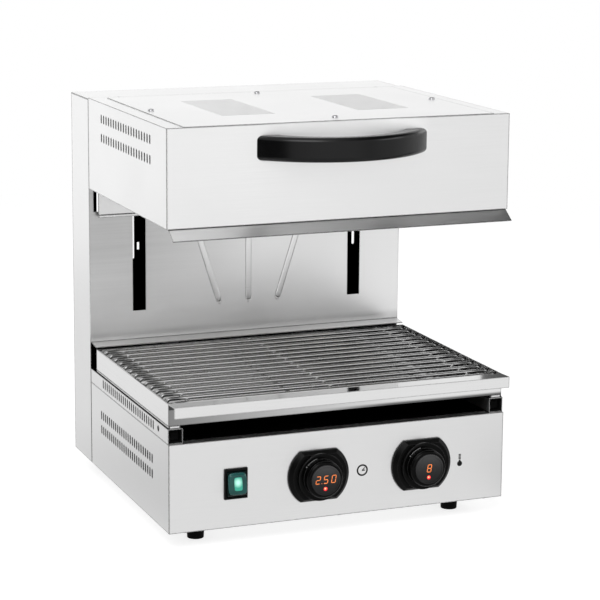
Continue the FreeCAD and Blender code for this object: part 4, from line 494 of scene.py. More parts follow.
def back_panel_steel():
    """The stainless behind the heater: painted shade at its upper left and along its foot, painted light above the
    foot.
    """
    f = finish()
    made = satin_stainless("Back panel steel")
    tree, shader, plain = skin_of(made)
    spot = place_of(tree)
    grain = effect(tree, "Brushed grain", Lines=260)["Grain"]
    # painted light just above the foot, less of it with the height
    low = product(tree, remap(tree, spot["Z"], 0.40, 0.24, 0, 0.8), remap(tree, spot["Z"], 0.203, 0.212))
    # painted shade towards the upper left, uneven along the grain
    left = product(tree, remap(tree, spot["X"], 0.02, -0.16), remap(tree, grain, 0.2, 0.8, 0.64, 0.82))
    corner = product(tree, left, remap(tree, spot["Z"], 0.23, 0.335))
    # a faint band of painted shade along the foot
    foot = remap(tree, spot["Z"], 0.216, 0.210, 0, 0.22)
    painted_shade_mask = math_node(tree, "MAXIMUM", corner, foot)
    with_painted_light = blend_colours(tree, low, plain, f.steel_painted_light)
    feed(tree, shader, Base_Color=blend_colours(tree, painted_shade_mask, with_painted_light, f.steel_painted_shade))
    return made


def rear_cover_steel():
    """The rear cover: satin stainless outside, and painted black inside as painted shade for the dark within the
    column.
    """
    made = satin_stainless("Rear cover steel")
    tree, shader, plain = skin_of(made)
    # painted shade: the faces turned to the front, inside the column, are coloured black
    inside = math_node(tree, "LESS_THAN", place_of(tree, "Normal")["Y"], -0.5)
    feed(tree, shader, Base_Color=blend_colours(tree, inside, plain, finish().black_coat))
    return made


def pressed_steel():
    """The stainless of the pressed beads, coloured lighter than the panel as a painted highlight, and without an edge
    line.
    """
    f = finish()
    return sheet_metal("Pressed steel", scaled(f.steel, 1.12), f.steel, 0.30, 0.04, f.grain_depth, line=f.steel)


def bright_tray():
    """Bright sheet, with painted shade on the right of the pan's floor and on its front wall, and a painted
    reflection of the grate on the flat of its lip.
    """
    f = finish()
    made = sheet_metal("Bright tray sheet", f.tray, scaled(f.tray, 0.94), f.tray_roughness, 0.02, 0.000004,
                       lines=420, line=scaled(f.tray, 0.35))
    tree, shader, plain = skin_of(made)
    spot = place_of(tree)
    # painted shade on the right of the pan's floor
    floor = TRAY_LOW.z + 0.0016
    low = remap(tree, spot["Z"], floor + 0.003, floor)
    right = remap(tree, math_node(tree, "MULTIPLY_ADD", clouds(tree, 11, 1.2), 0.06, spot["X"]), -0.04, 0.10)
    tone = blend_colours(tree, product(tree, low, right), plain, f.tray_painted_shade)
    # the front wall stands in the lip's shade, deepest at its left end
    wall_front, wall_back, wall_head = -0.1945, -0.1905, 0.1945
    wall = product(tree, math_node(tree, "LESS_THAN", spot["Y"], wall_back),
                   math_node(tree, "GREATER_THAN", spot["Y"], wall_front),
                   math_node(tree, "LESS_THAN", spot["Z"], wall_head),
                   remap(tree, spot["X"], -0.24, 0.10, 0.85, 0.0))
    tone = blend_colours(tree, wall, tone, f.tray_painted_shade)
    # painted reflection of the grate on the flat of the lip, most of all at its left end
    flat = product(tree, math_node(tree, "GREATER_THAN", place_of(tree, "Normal")["Z"], 0.9),
                   math_node(tree, "GREATER_THAN", spot["Z"], TRAY_HIGH.z - 0.003),
                   math_node(tree, "LESS_THAN", spot["Y"], TRAY_LOW.y + 0.045),
                   remap(tree, spot["X"], -0.05, 0.15, 1.0, 0.6))
    feed(tree, shader, Base_Color=blend_colours(tree, flat, tone, f.lip_painted_reflection))
    return made


def polished_wire():
    """Drawn wire with the faint lengthwise lines of the die, and painted shade over the bright bar ends at the sides
    of the grate.
    """
    f = finish()
    made, tree, shader = new_material("Polished wire", Metallic=1.0)
    used = clouds(tree, 30)
    # painted shade over the bright ends of the bars at both sides of the grate
    side_start, side_end = 0.205, 0.214
    ends = remap(tree, math_node(tree, "ABSOLUTE", place_of(tree)["X"]), side_start, side_end)
    drawn = blend_colours(tree, used, f.wire, scaled(f.wire, 0.86))
    feed(tree, shader, Base_Color=blend_colours(tree, ends, drawn, scaled(f.wire, 0.3)),
         Roughness=remap(tree, used, 0, 1, f.wire_roughness - 0.04, f.wire_roughness + 0.08))
    bump(tree, shader, effect(tree, "Brushed grain", Lines=1500, Stretch=0.01)["Grain"], 0.00002)
    return made


def two_tone(name, cover, tones, roughness, relief=None, depth=0.0, radius=None, wear=None, **sockets):
    """Two tones blended by one effect, with a varied roughness and a relief.

    An effect is its name and its values. The roughness follows the wear, or else the cover. Without a depth the
    skin is plain, and a radius softens its edges.
    """
    made, tree, shader = new_material(name, **sockets)

    def mask(recipe):
        return effect(tree, recipe[0], **recipe[1])[0]

    feed(tree, shader, Base_Color=blend_colours(tree, mask(cover), *tones),
         Roughness=remap(tree, mask(wear or cover), 0, 1, *roughness))
    if depth:
        bump(tree, shader, mask(relief or cover), depth, rounded(tree, radius) if radius else None)
    return made


def marks_of(size, contrast=3):
    """Handling marks as a recipe for a two tone finish."""
    return "Handling marks", {"Size": size, "Contrast": contrast}


def skin_recipe(fineness):
    """A moulded skin as a recipe for a two tone finish."""
    return "Moulded skin", {"Fineness": fineness}


def bright_reflector():
    """Mirror sheet with a faint straw tint where the heat plays on it."""
    return two_tone("Bright reflector", marks_of(5, 4), ((0.80, 0.80, 0.80), (0.78, 0.72, 0.60)), (0.12, 0.22),
                    depth=0.0006, Metallic=1.0)


def zinc_plate():
    """Zinc plated steel with small flowers."""
    return two_tone("Zinc plate", ("Speckle", {"Fineness": 160}), ((0.50, 0.52, 0.56), (0.62, 0.64, 0.68)),
                    (0.30, 0.45), depth=0.00001, radius=0.0005, Metallic=1.0)


def chromed_rod():
    """Bright chrome with the rings that polishing leaves."""
    return two_tone("Chromed rod", ("Brushed grain", {"Lines": 2600, "Stretch": 0.01}),
                    ((0.72, 0.73, 0.76), (0.80, 0.80, 0.82)), (0.06, 0.14), depth=0.000004, Metallic=1.0)


def turned_fastener():
    """Turned steel, darker where it was handled."""
    rings = ("Brushed grain", {"Lines": 2200, "Stretch": 0.1})
    return two_tone("Turned fastener", marks_of(160), ((0.40, 0.40, 0.41), (0.28, 0.28, 0.29)), (0.20, 0.38),
                    rings, 0.00001, 0.0002, rings, Metallic=1.0)


def lead_insulation():
    """The blue jacket of the supply leads."""
    return two_tone("Lead insulation", marks_of(40), ((0.05, 0.06, 0.20), (0.09, 0.10, 0.28)), (0.35, 0.5),
                    skin_recipe(1800), 0.00002, Specular_IOR_Level=0.4)


def roller_moulding():
    """The pale plastic of the rollers."""
    return two_tone("Roller moulding", marks_of(70), ((0.80, 0.78, 0.72), (0.70, 0.68, 0.61)), (0.36, 0.5),
                    skin_recipe(2200), 0.00002, 0.0004, Specular_IOR_Level=0.5)


def element_sheath():
    """Heater tube, oxidised by heat into brown and blue grey patches."""
    crust = ("Speckle", {"Fineness": 900})
    return two_tone("Element sheath", marks_of(22, 4), ((0.075, 0.070, 0.066), (0.16, 0.145, 0.13)), (0.48, 0.66),
                    crust, 0.00003, None, crust, Metallic=0.4)


def black_moulding(name, tone, roughness, depth, fineness, radius, lift=2.5, specular=None):
    """Black plastic: pebbled skin, slightly uneven gloss, and painted highlights along the edges."""
    shine = finish().black_shine if specular is None else specular
    made, tree, shader = new_material(name, Metallic=0.0, Specular_IOR_Level=shine)
    used = clouds(tree, 18)
    edge = effect(tree, "Soft edge", Radius=radius)
    worn = blend_colours(tree, used, tone, scaled(tone, 1.35))
    # painted highlight: the edges are coloured lift times the tone
    feed(tree, shader, Base_Color=blend_colours(tree, edge["Edge"], worn, scaled(tone, lift)),
         Roughness=remap(tree, used, 0, 1, roughness - 0.03, roughness + 0.05))
    bump(tree, shader, pebbles(tree, fineness), depth, edge["Normal"])
    return made


def handle_moulding():
    """The satin black of the handle."""
    f = finish()
    return black_moulding("Handle moulding", f.handle, f.handle_roughness, 0.000008, 1800, 0.0012, 2.0, 0.22)


def knob_moulding():
    """The glossy black of the turning rings, with painted highlights on their edges."""
    f = finish()
    return black_moulding("Knob moulding", f.knob, f.knob_roughness, 0.000003, 2400, 0.0009, 40)


def bezel_moulding():
    """The satin black of the bezels."""
    f = finish()
    return black_moulding("Bezel moulding", f.bezel, f.bezel_roughness, 0.000015, 3200, 0.0008, 14)


def black_coating():
    """Matt black coated steel."""
    return black_moulding("Matt black coat", finish().black_coat, 0.65, 0.00004, 1500, 0.0006, 1.5, 0.0)


def rocker_root():
    """The dark root of the rocker below its clear cap."""
    return black_moulding("Rocker root", (0.0010, 0.0050, 0.0046), 0.4, 0.00001, 1500, 0.0006)


def white_ceramic():
    """Glazed ceramic with mineral specks."""
    made, tree, shader = new_material("White ceramic", Specular_IOR_Level=0.5)
    specks = math_node(tree, "GREATER_THAN", effect(tree, "Speckle", Fineness=1400)["Mask"], 0.96)
    used = clouds(tree, 60)
    tone = blend_colours(tree, used, (0.84, 0.82, 0.76), (0.76, 0.73, 0.66))
    feed(tree, shader, Base_Color=blend_colours(tree, specks, tone, (0.52, 0.48, 0.40)),
         Roughness=remap(tree, used, 0, 1, 0.32, 0.5))
    bump(tree, shader, pebbles(tree, 1200), 0.00003, rounded(tree, 0.0004))
    return made


def mineral_blanket():
    """Pressed mineral fibre: crossing strands and soft clumps."""
    made, tree, shader = new_material("Mineral blanket", Specular_IOR_Level=0.1)
    strands = effect(tree, "Brushed grain", Lines=320, Stretch=0.12)["Grain"]
    clumps = clouds(tree, 38, 4)
    tone = blend_colours(tree, clumps, (0.70, 0.66, 0.55), (0.58, 0.54, 0.44))
    feed(tree, shader, Base_Color=blend_colours(tree, remap(tree, strands, 0.45, 0.6), tone, (0.80, 0.77, 0.68)),
         Roughness=remap(tree, strands, 0, 1, 0.85, 1.0))
    bump(tree, shader, math_node(tree, "ADD", strands, clumps), 0.0008)
    return made


def circuit_board():
    """Lacquered board with a faint grid of tracks."""
    made, tree, shader = new_material("Circuit board", Specular_IOR_Level=0.5)
    tracks = add_node(tree, "ShaderNodeTexBrick", {
        "Vector": add_node(tree, "ShaderNodeTexCoord").outputs["Object"], "Scale": 190, "Mortar Size": 0.035,
        "Color1": (0, 0, 0), "Color2": (0.15, 0.15, 0.15), "Mortar": WHITE}).outputs
    drift = clouds(tree, 50)
    tone = blend_colours(tree, drift, (0.018, 0.12, 0.055), (0.026, 0.17, 0.075))
    feed(tree, shader, Base_Color=blend_colours(tree, tracks["Color"], tone, (0.06, 0.26, 0.12)),
         Roughness=remap(tree, drift, 0, 1, 0.28, 0.42))
    bump(tree, shader, tracks["Fac"], 0.00003)
    return made


def display_window():
    """Smoked display window, with a painted reflection that lightens it towards its head."""
    f = finish()
    made, tree, shader = new_material("Display window", Specular_IOR_Level=0.2)
    reach = 0.018
    # painted reflection, rising towards the window's head
    rise = remap(tree, place_of(tree)["Z"], TIMER_CENTRE.z - reach, TIMER_CENTRE.z + reach)
    feed(tree, shader,
         Base_Color=blend_colours(tree, math_node(tree, "POWER", rise, 2.0), f.window_low, f.window_head_reflection),
         Roughness=remap(tree, clouds(tree, 60), 0, 1, 0.20, 0.28))
    bump(tree, shader, pebbles(tree, 2600), 0.000004, rounded(tree, 0.0004))
    return made


def rocker_moulding():
    """Clear green moulding: deep in its middle, with a painted highlight along its rim."""
    f = finish()
    made, tree, shader = new_material("Rocker moulding", Specular_IOR_Level=0.25, Coat_Weight=0.15,
                                      Coat_Roughness=0.1)
    cloudy = clouds(tree, 90)
    tone = blend_colours(tree, cloudy, f.rocker, scaled(f.rocker, 1.35))
    # painted highlight along the rocker's rim
    rim = effect(tree, "Soft edge", Radius=0.0022)["Edge"]
    feed(tree, shader, Base_Color=blend_colours(tree, rim, tone, (0.045, 0.14, 0.14)),
         Roughness=remap(tree, cloudy, 0, 1, 0.16, 0.26))
    bump(tree, shader, pebbles(tree, 1500), 0.00001, rounded(tree, 0.0008))
    return made


# the finish of each CAD slot, and of the nodes whose finish is their own
FINISHES = {
    "stainless": satin_stainless,
    "sheet_steel": lambda: sheet_metal("Plain steel sheet", (0.62, 0.62, 0.61), (0.56, 0.56, 0.56), 0.38, 0.05,
                                       0.00002, lines=500),
    "heat_sink": lambda: sheet_metal("Extruded aluminium", (0.62, 0.62, 0.64), (0.54, 0.54, 0.56), 0.40, 0.06,
                                     0.00004, lines=900),
    "gland_plastic": lambda: black_moulding("Gland moulding", (0.002, 0.002, 0.002), 0.45, 0.00003, 2400, 0.0006,
                                            2.5, 0.04),
    "spring_tube": lambda: black_moulding("Spring tube paint", (0.014, 0.014, 0.015), 0.24, 0.00002, 900, 0.0008),
    "rubber": lambda: black_moulding("Foot rubber", (0.002, 0.002, 0.002), 0.65, 0.00006, 1300, 0.0012, 2.0, 0.05),
    "black_steel": black_coating, "tray_steel": bright_tray, "grate_wire": polished_wire,
    "zinc_steel": zinc_plate, "spring_rod": chromed_rod, "roller_plastic": roller_moulding,
    "reflector_steel": bright_reflector, "element_tube": element_sheath, "ceramic": white_ceramic,
    "insulation": mineral_blanket, "fastener": turned_fastener, "handle_plastic": handle_moulding,
    "knob_plastic": knob_moulding, "bezel_plastic": bezel_moulding, "display_plastic": display_window,
    "rocker_green": rocker_moulding, "circuit_board": circuit_board, "lead_jacket": lead_insulation,
}
NODE_FINISHES = {
    "switch_rocker": rocker_root, "hood_front_panel": hood_front_steel, "hood_top_cover": vented_cover,
    "column_back_panel": back_panel_steel, "column_rear_cover": rear_cover_steel,
}
MADE = {}


def slot_material(slot):
    """The finish of a material slot, built once."""
    if slot not in MADE:
        MADE[slot] = FINISHES[slot]()
    return MADE[slot]


def glowing(name, bright, rim, centre, reach, strength, roughness=0.3):
    """A lit piece, bright at its centre and deeper towards its rim."""
    made, tree, shader = new_material(name, Roughness=roughness, Emission_Strength=strength)
    place = add_node(tree, "ShaderNodeTexCoord").outputs["Object"]
    offset = add_node(tree, "ShaderNodeVectorMath", {0: place, 1: centre}, operation="SUBTRACT").outputs[0]
    flat = add_node(tree, "ShaderNodeVectorMath", {0: offset, 1: (1, 0, 1)}, operation="MULTIPLY").outputs[0]
    tone = blend_colours(tree, remap(tree, distance_of(tree, flat), reach * 0.15, reach), bright, rim)
    feed(tree, shader, Base_Color=tone, Emission_Color=tone)
    return made


# ---------------------------------------------------------------- making pieces

def finish_piece(name, mesh, body, slot, material=None):
    """Turns a bmesh into a named piece that rides on a body."""
    data = bpy.data.meshes.new(name)
    mesh.to_mesh(data)
    mesh.free()
    data.materials.append(material or slot_material(slot))
    piece = bpy.data.objects.new(name, data)
    bpy.context.scene.collection.objects.link(piece)
    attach(piece, body)
    return piece


def thicken(piece, name, thickness):
    """Gives an open skin a wall behind it."""
    wall = piece.modifiers.new(name, "SOLIDIFY")
    wall.thickness = thickness
    wall.offset = -1


def bridge(mesh, rows, smooth_faces=True, closed=True):
    """Joins rows of vertices with bands of faces; a closed row ends where it begins."""
    for low, high in zip(rows, rows[1:]):
        for k in range(len(low) if closed else len(low) - 1):
            n = (k + 1) % len(low)
            mesh.faces.new((low[k], low[n], high[n], high[k])).smooth = smooth_faces


def round_points(x, z, radius, steps):
    """Points (x, z) round a circle."""
    turns = [2 * math.pi * k / steps for k in range(steps)]
    return [(x + radius * math.cos(a), z + radius * math.sin(a)) for a in turns]


def add_plate(mesh, outline, face, thickness):
    """A thin plate from a flat outline of (x, z), its front `thickness` ahead of the face at y."""
    back = [mesh.verts.new((x, face + 0.00002, z)) for x, z in outline]
    front = [mesh.verts.new((x, face - thickness, z)) for x, z in outline]
    mesh.faces.new(front)
    mesh.faces.new(back[::-1])
    bridge(mesh, (back, front), smooth_faces=False)


def add_arc(mesh, centre, radius, width, turns, face, thickness):
    """A flat arc of plates through the turns, its outer edge at the radius."""
    for first, last in zip(turns, turns[1:]):
        corners = ((first, radius), (last, radius), (last, radius - width), (first, radius - width))
        add_plate(mesh, [(centre[0] + r * math.cos(a), centre[1] + r * math.sin(a)) for a, r in corners],
                  face, thickness)


def add_bar(mesh, start, end, width, face, thickness):
    """A straight bar between two points of (x, z)."""
    start, end = Vector(start), Vector(end)
    along = (end - start).normalized()
    side = Vector((-along.y, along.x)) * width / 2
    add_plate(mesh, (start - side, end - side, end + side, start + side), face, thickness)


def add_dome(mesh, centre, radius, height, steps=32, rings=8):
    """A low dome towards -Y over a disc at the centre, drawn as rings of a round profile."""
    rows = []
    for ring in range(rings):
        lean = math.pi / 2 * ring / rings
        rows.append([mesh.verts.new((x, centre[1] - height * math.sin(lean), z))
                     for x, z in round_points(centre[0], centre[2], radius * math.cos(lean), steps)])
    bridge(mesh, rows)
    tip = mesh.verts.new((centre[0], centre[1] - height, centre[2]))
    for k in range(steps):
        mesh.faces.new((rows[-1][k], rows[-1][(k + 1) % steps], tip)).smooth = True


def surface(node):
    """The faces of a CAD node, for finding places on it."""
    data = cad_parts[node].data
    return BVHTree.FromPolygons([v.co for v in data.vertices], [p.vertices for p in data.polygons])


def front_of(skin, x, z):
    """Y of the first place that a ray from the front meets at x and z."""
    place = skin.ray_cast(Vector((x, -1, z)), Vector((0, 1, 0)))[0]
    if place is None:
        raise RuntimeError("nothing lies at x %.4f and z %.4f" % (x, z))
    return place.y


# ---------------------------------------------------------------- operators

class SALAMANDER_OT_finishes(bpy.types.Operator):
    """Give every CAD node the finish of its material slot"""
    bl_idname = "salamander.finishes"
    bl_label = "Sheet, wire and moulded finishes"

    def execute(self, context):
        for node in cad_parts.values():
            for slot in node.material_slots:
                key = slot.material.name.split(".")[0]
                slot.link = "OBJECT"
                slot.material = slot_material(key)
        for name, build in NODE_FINISHES.items():
            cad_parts[name].material_slots[0].material = build()
        return {"FINISHED"}


# the strokes of each digit, from a at the top clockwise to f, with g in the middle
STROKES = {
    "0": "abcdef", "1": "bc", "2": "abdeg", "3": "abcdg", "4": "bcfg",
    "5": "acdfg", "6": "acdefg", "7": "abc", "8": "abcdefg", "9": "abcdfg",
}
DIGIT_THICKNESS = 0.00012
PRINT_THICKNESS = 0.00006


def add_digit(mesh, digit, left, centre_z, face):
    """One slanted seven stroke digit; left is its left edge at mid height."""
    m = marks()
    width, half, gap = m.digit_width, m.digit_height / 2, 0.00018
    lean, cut = math.tan(m.digit_slant), m.digit_stroke / 2

    def upright(x, low, high):
        return [(x, low + gap), (x + cut, low + cut + gap), (x + cut, high - cut - gap), (x, high - gap),
                (x - cut, high - cut - gap), (x - cut, low + cut + gap)]

    def level(z):
        start, end = cut + gap, width - cut - gap
        return [(start, z), (start + cut, z - cut), (end - cut, z - cut), (end, z), (end - cut, z + cut),
                (start + cut, z + cut)]

    places = {
        "a": level(half - cut), "g": level(0), "d": level(cut - half),
        "b": upright(width - cut, 0, half - cut), "c": upright(width - cut, cut - half, 0),
        "f": upright(cut, 0, half - cut), "e": upright(cut, cut - half, 0),
    }
    for stroke in STROKES[digit]:
        outline = [(left + x + z * lean, centre_z + z) for x, z in places[stroke]]
        add_plate(mesh, outline, face, DIGIT_THICKNESS)


class SALAMANDER_OT_readings(bpy.types.Operator):
    """Light the digits of both displays"""
    bl_idname = "salamander.readings"
    bl_label = "Display digits"

    def execute(self, context):
        m = marks()
        for name, node, reading in (("timer_reading", "timer_display", m.timer_reading),
                                    ("level_reading", "level_display", m.level_reading)):
            centre = middle(node)
            face = front_of(surface(node), centre.x, centre.z)
            count = len(reading.replace(".", ""))
            left = centre.x - ((count - 1) * m.digit_pitch + m.digit_width) / 2
            level = centre.z + m.digit_rise
            mesh = bmesh.new()
            for c in reading:
                if c == ".":
                    dot = m.digit_stroke * 0.55
                    x = left - (m.digit_pitch - m.digit_width) / 2 - 0.0006
                    points = round_points(x, level - m.digit_height / 2 + dot, dot, 8)
                    add_plate(mesh, points, face, DIGIT_THICKNESS)
                else:
                    add_digit(mesh, c, left, level, face)
                    left += m.digit_pitch
            glow = glowing(name + "_glow", m.digit_glow, scaled(m.digit_glow, 0.8), (centre.x, face, level),
                           0.02, 0.62)
            finish_piece(name, mesh, "housing", "display_plastic", glow)
        return {"FINISHED"}


class SALAMANDER_OT_lamps(bpy.types.Operator):
    """Set the red status lamp below each reading"""
    bl_idname = "salamander.lamps"
    bl_label = "Status lamps"

    def execute(self, context):
        m = marks()
        radius = m.lamp_diameter / 2
        for name, node in (("timer_lamp", "timer_display"), ("level_lamp", "level_display")):
            centre = middle(node)
            spot = Vector((centre.x - 0.0006, 0, centre.z - m.lamp_drop))
            spot.y = front_of(surface(node), spot.x, spot.z)
            mesh = bmesh.new()
            add_dome(mesh, spot, radius, 0.0006)
            # brightest a little above and to the left of its middle
            bright_spot = (spot.x - 0.0005, spot.y, spot.z + 0.0005)
            glow = glowing(name + "_glow", (1.0, 0.55, 0.25), m.lamp_glow, bright_spot, radius * 0.7, 1.0)
            finish_piece(name, mesh, "housing", "display_plastic", glow)
        return {"FINISHED"}


class SALAMANDER_OT_symbols(bpy.types.Operator):
    """Print the clock and the thermometer on the front panel"""
    bl_idname = "salamander.symbols"
    bl_label = "Printed symbols"

    def execute(self, context):
        m = marks()
        ink = two_tone("Panel ink", marks_of(120), (m.ink, scaled(m.ink, 1.8)), (0.4, 0.55),
                       Specular_IOR_Level=0.15)
        mesh = bmesh.new()
        x, z, stroke = m.clock_place, TIMER_CENTRE.z, m.symbol_stroke
        around = [2 * math.pi * k / 48 for k in range(49)]
        add_arc(mesh, (x, z), m.clock_radius, stroke, around, PANEL_FACE, PRINT_THICKNESS)
        for end in ((x + 0.0036, z + 0.0034), (x + 0.0042, z - 0.0002)):
            add_bar(mesh, (x - 0.0004, z - 0.0006), end, stroke * 0.6, PANEL_FACE, PRINT_THICKNESS)
        finish_piece("clock_symbol", mesh, "housing", "bezel_plastic", ink)
        mesh = bmesh.new()
        x, foot = m.thermometer_place, TIMER_CENTRE.z - 0.0054
        bulb, stem_width, stem_head = 0.0037, 0.0026, 0.0052
        add_plate(mesh, round_points(x, foot, bulb, 32), PANEL_FACE, PRINT_THICKNESS)
        add_bar(mesh, (x, foot + bulb * 0.9), (x, foot + stem_head), stem_width, PANEL_FACE, PRINT_THICKNESS)
        first_mark, mark_pitch, mark_height, mark_width = 0.0060, 0.0019, 0.0014, 0.0034
        for k in range(4):
            low = foot + first_mark + k * mark_pitch
            add_bar(mesh, (x, low), (x, low + mark_height), mark_width, PANEL_FACE, PRINT_THICKNESS)
        finish_piece("thermometer_symbol", mesh, "housing", "bezel_plastic", ink)
        return {"FINISHED"}


def add_shell(mesh, skin, centre, half, lift, crown, exponent, pull, columns=24, rows=32):
    """A crowned grid over a surface, `lift` ahead of it at its rim and with drawn in corners."""
    grid = []
    for r in range(rows + 1):
        line = []
        for c in range(columns + 1):
            u, v = math.sin(math.pi * (c / columns - 0.5)), math.sin(math.pi * (r / rows - 0.5))
            drawn = 1 - pull * (u * v) ** 4
            x, z = centre[0] + u * half[0] * drawn, centre[1] + v * half[1] * drawn
            rise = crown * ((1 - abs(u) ** exponent) * (1 - abs(v) ** exponent)) ** 0.5
            line.append(mesh.verts.new((x, front_of(skin, x, z) - lift - rise, z)))
        grid.append(line)
    bridge(mesh, grid, closed=False)
    bmesh.ops.recalc_face_normals(mesh, faces=mesh.faces[:])


class SALAMANDER_OT_rocker_lens(bpy.types.Operator):
    """Round the face of the rocker and set its lit window"""
    bl_idname = "salamander.rocker_lens"
    bl_label = "Rocker window"

    def execute(self, context):
        m = marks()
        skin, clear = surface("switch_rocker"), 0.00005
        x, z = ROCKER_CENTRE.x, ROCKER_CENTRE.z + 0.0013
        mesh = bmesh.new()
        add_shell(mesh, skin, (x, z), (m.cap_width / 2, m.cap_height / 2), clear, m.cap_crown, 6, 0.13)
        cap = finish_piece("rocker_cap", mesh, "rocker", "rocker_green")
        spot = z + 0.0005
        mesh = bmesh.new()
        add_shell(mesh, skin, (x, spot), (m.lens_width / 2, m.lens_height / 2), clear + m.cap_crown, 0.0005, 4,
                  0.12)
        glow = glowing("rocker_window_glow", (0.50, 0.95, 0.80), m.lens_glow, (x - 0.0005, 0, spot + 0.002),
                       0.0068, 0.36, 0.15)
        window = finish_piece("rocker_window", mesh, "rocker", "rocker_green", glow)
        for piece in (cap, window):
            thicken(piece, "wall", 0.0004)
        return {"FINISHED"}


def add_screw_head(mesh, place, axis, turn, steps=48, rings=14):
    """A domed head with a cross recess; its seat is at the place and it looks along the axis."""
    s = fittings()
    radius = s.head_diameter / 2
    facing = Vector(axis).to_track_quat("Z", "Y").to_matrix().to_4x4() @ Matrix.Rotation(turn, 4, "Z")
    seat = Matrix.Translation(place) @ facing
    rows = []
    for ring in range(rings + 1):
        reach = radius * (1 - ring / (rings + 0.5))
        dome = s.head_height * (1 - (reach / radius) ** 6) ** 0.5
        row = []
        for x, y in round_points(0, 0, reach, steps):
            arm = min(abs(x), abs(y)) / (radius * 0.13)
            end = max(abs(x), abs(y)) / (radius * 0.56)
            sunk = max(0.0, min(1.0, (1.25 - arm) * 2.5)) * max(0.0, min(1.0, (1.15 - end) * 5))
            row.append(mesh.verts.new(seat @ Vector((x, y, dome - s.recess_depth * sunk))))
        rows.append(row)
    bridge(mesh, rows)
    mesh.faces.new(rows[-1]).smooth = True


# (x, y) of the screws of the top cover; x on both sides and z of those of the rear cover
TOP_SCREWS = ((-0.2035, -0.0265), (0.2035, -0.0265), (0.0, 0.118), (0.0, -0.166))
REAR_SCREW_SIDE, REAR_SCREW_LEVELS = 0.2295, (0.085, 0.304, 0.525)


class SALAMANDER_OT_screw_heads(bpy.types.Operator):
    """Dress the outer screws with domed heads and cross recesses"""
    bl_idname = "salamander.screw_heads"
    bl_label = "Screw heads"

    def execute(self, context):
        cover_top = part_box("hood_top_cover")[1].z
        mesh = bmesh.new()
        for k, (x, y) in enumerate(TOP_SCREWS):
            add_screw_head(mesh, (x, y, cover_top), (0, 0, 1), 0.5 + 1.1 * k)
        finish_piece("top_screw_heads", mesh, "hood", "fastener")
        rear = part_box("base_fasteners")[1].y - 0.002
        mesh = bmesh.new()
        for k, z in enumerate(REAR_SCREW_LEVELS):
            for side in (-1, 1):
                add_screw_head(mesh, (REAR_SCREW_SIDE * side, rear, z), (0, 1, 0), 0.4 + 1.3 * k + side)
        finish_piece("rear_screw_heads", mesh, "housing", "fastener")
        return {"FINISHED"}


# the grate's cross bars: count, y of the first and distance between two
BAR_COUNT, BAR_FIRST, BAR_PITCH = 14, -0.185, 0.0228


class SALAMANDER_OT_welds(bpy.types.Operator):
    """Put a small weld bead where each bar of the grate meets a side wire"""
    bl_idname = "salamander.welds"
    bl_label = "Grate weld beads"

    def execute(self, context):
        s = fittings()
        skin = surface("wire_grate")
        inset, behind, sunk, flattening, unevenness = 0.0032, 0.0024, 0.0004, 0.55, 0.12
        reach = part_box("wire_grate")[1].x - inset
        mesh = bmesh.new()
        for k in range(BAR_COUNT):
            y = BAR_FIRST + BAR_PITCH * k + behind
            for side in (-1, 1):
                x = side * reach
                place = skin.ray_cast(Vector((x, y, 1)), Vector((0, 0, -1)))[0]
                if place is None:
                    continue
                made = bmesh.ops.create_icosphere(mesh, subdivisions=2, radius=s.weld_diameter / 2)
                for v in made["verts"]:
                    wave = math.sin(v.co.x * 2100 + k) * math.sin(v.co.y * 1700 + s.weld_seed + k * side)
                    v.co *= 1 + unevenness * wave
                    v.co.z *= flattening
                    v.co += Vector((x, y, place.z - sunk))
        for face in mesh.faces:
            face.smooth = True
        finish_piece("grate_weld_beads", mesh, "grate", "grate_wire")
        return {"FINISHED"}


CHANNEL_SIZE = 0.020
# (inset, depth) of a dished plug: its rim at the mouth falls over a rounded fold to a sunk middle
PLUG_PROFILE = ((0.0, 0.0), (0.0006, -0.0004), (0.0016, -0.0001), (0.0024, 0.0016), (0.0030, 0.0045),
                (0.0060, 0.0060))


class SALAMANDER_OT_channel_plugs(bpy.types.Operator):
    """Close the open front ends of both side channels with a sunk black plug, painted shade that stands for the dark
    inside of the channels
    """
    bl_idname = "salamander.channel_plugs"
    bl_label = "Channel end plugs"

    def execute(self, context):
        wall, sunk = 0.0011, 0.0022
        for side in ("left", "right"):
            low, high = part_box("side_channel_" + side)
            left, right, foot, head = low.x + wall, high.x - wall, low.z + wall, low.z + CHANNEL_SIZE - wall
            front = low.y + sunk
            mesh = bmesh.new()
            rows = [[mesh.verts.new((x, front + depth, z)) for x, z in (
                (left + inset, foot + inset), (right - inset, foot + inset),
                (right - inset, head - inset), (left + inset, head - inset))] for inset, depth in PLUG_PROFILE]
            bridge(mesh, rows, smooth_faces=False)
            mesh.faces.new(rows[-1])
            # a black piece as painted shade for the inside of the channel
            finish_piece("channel_shade_plug_" + side, mesh, "housing", "gland_plastic")
        return {"FINISHED"}


# the runner's seam: its inner and outer x, its front and rear y
SEAM_WALL, SEAM_RIM, SEAM_ENDS = 0.23502, 0.23735, (-0.1943, 0.149)


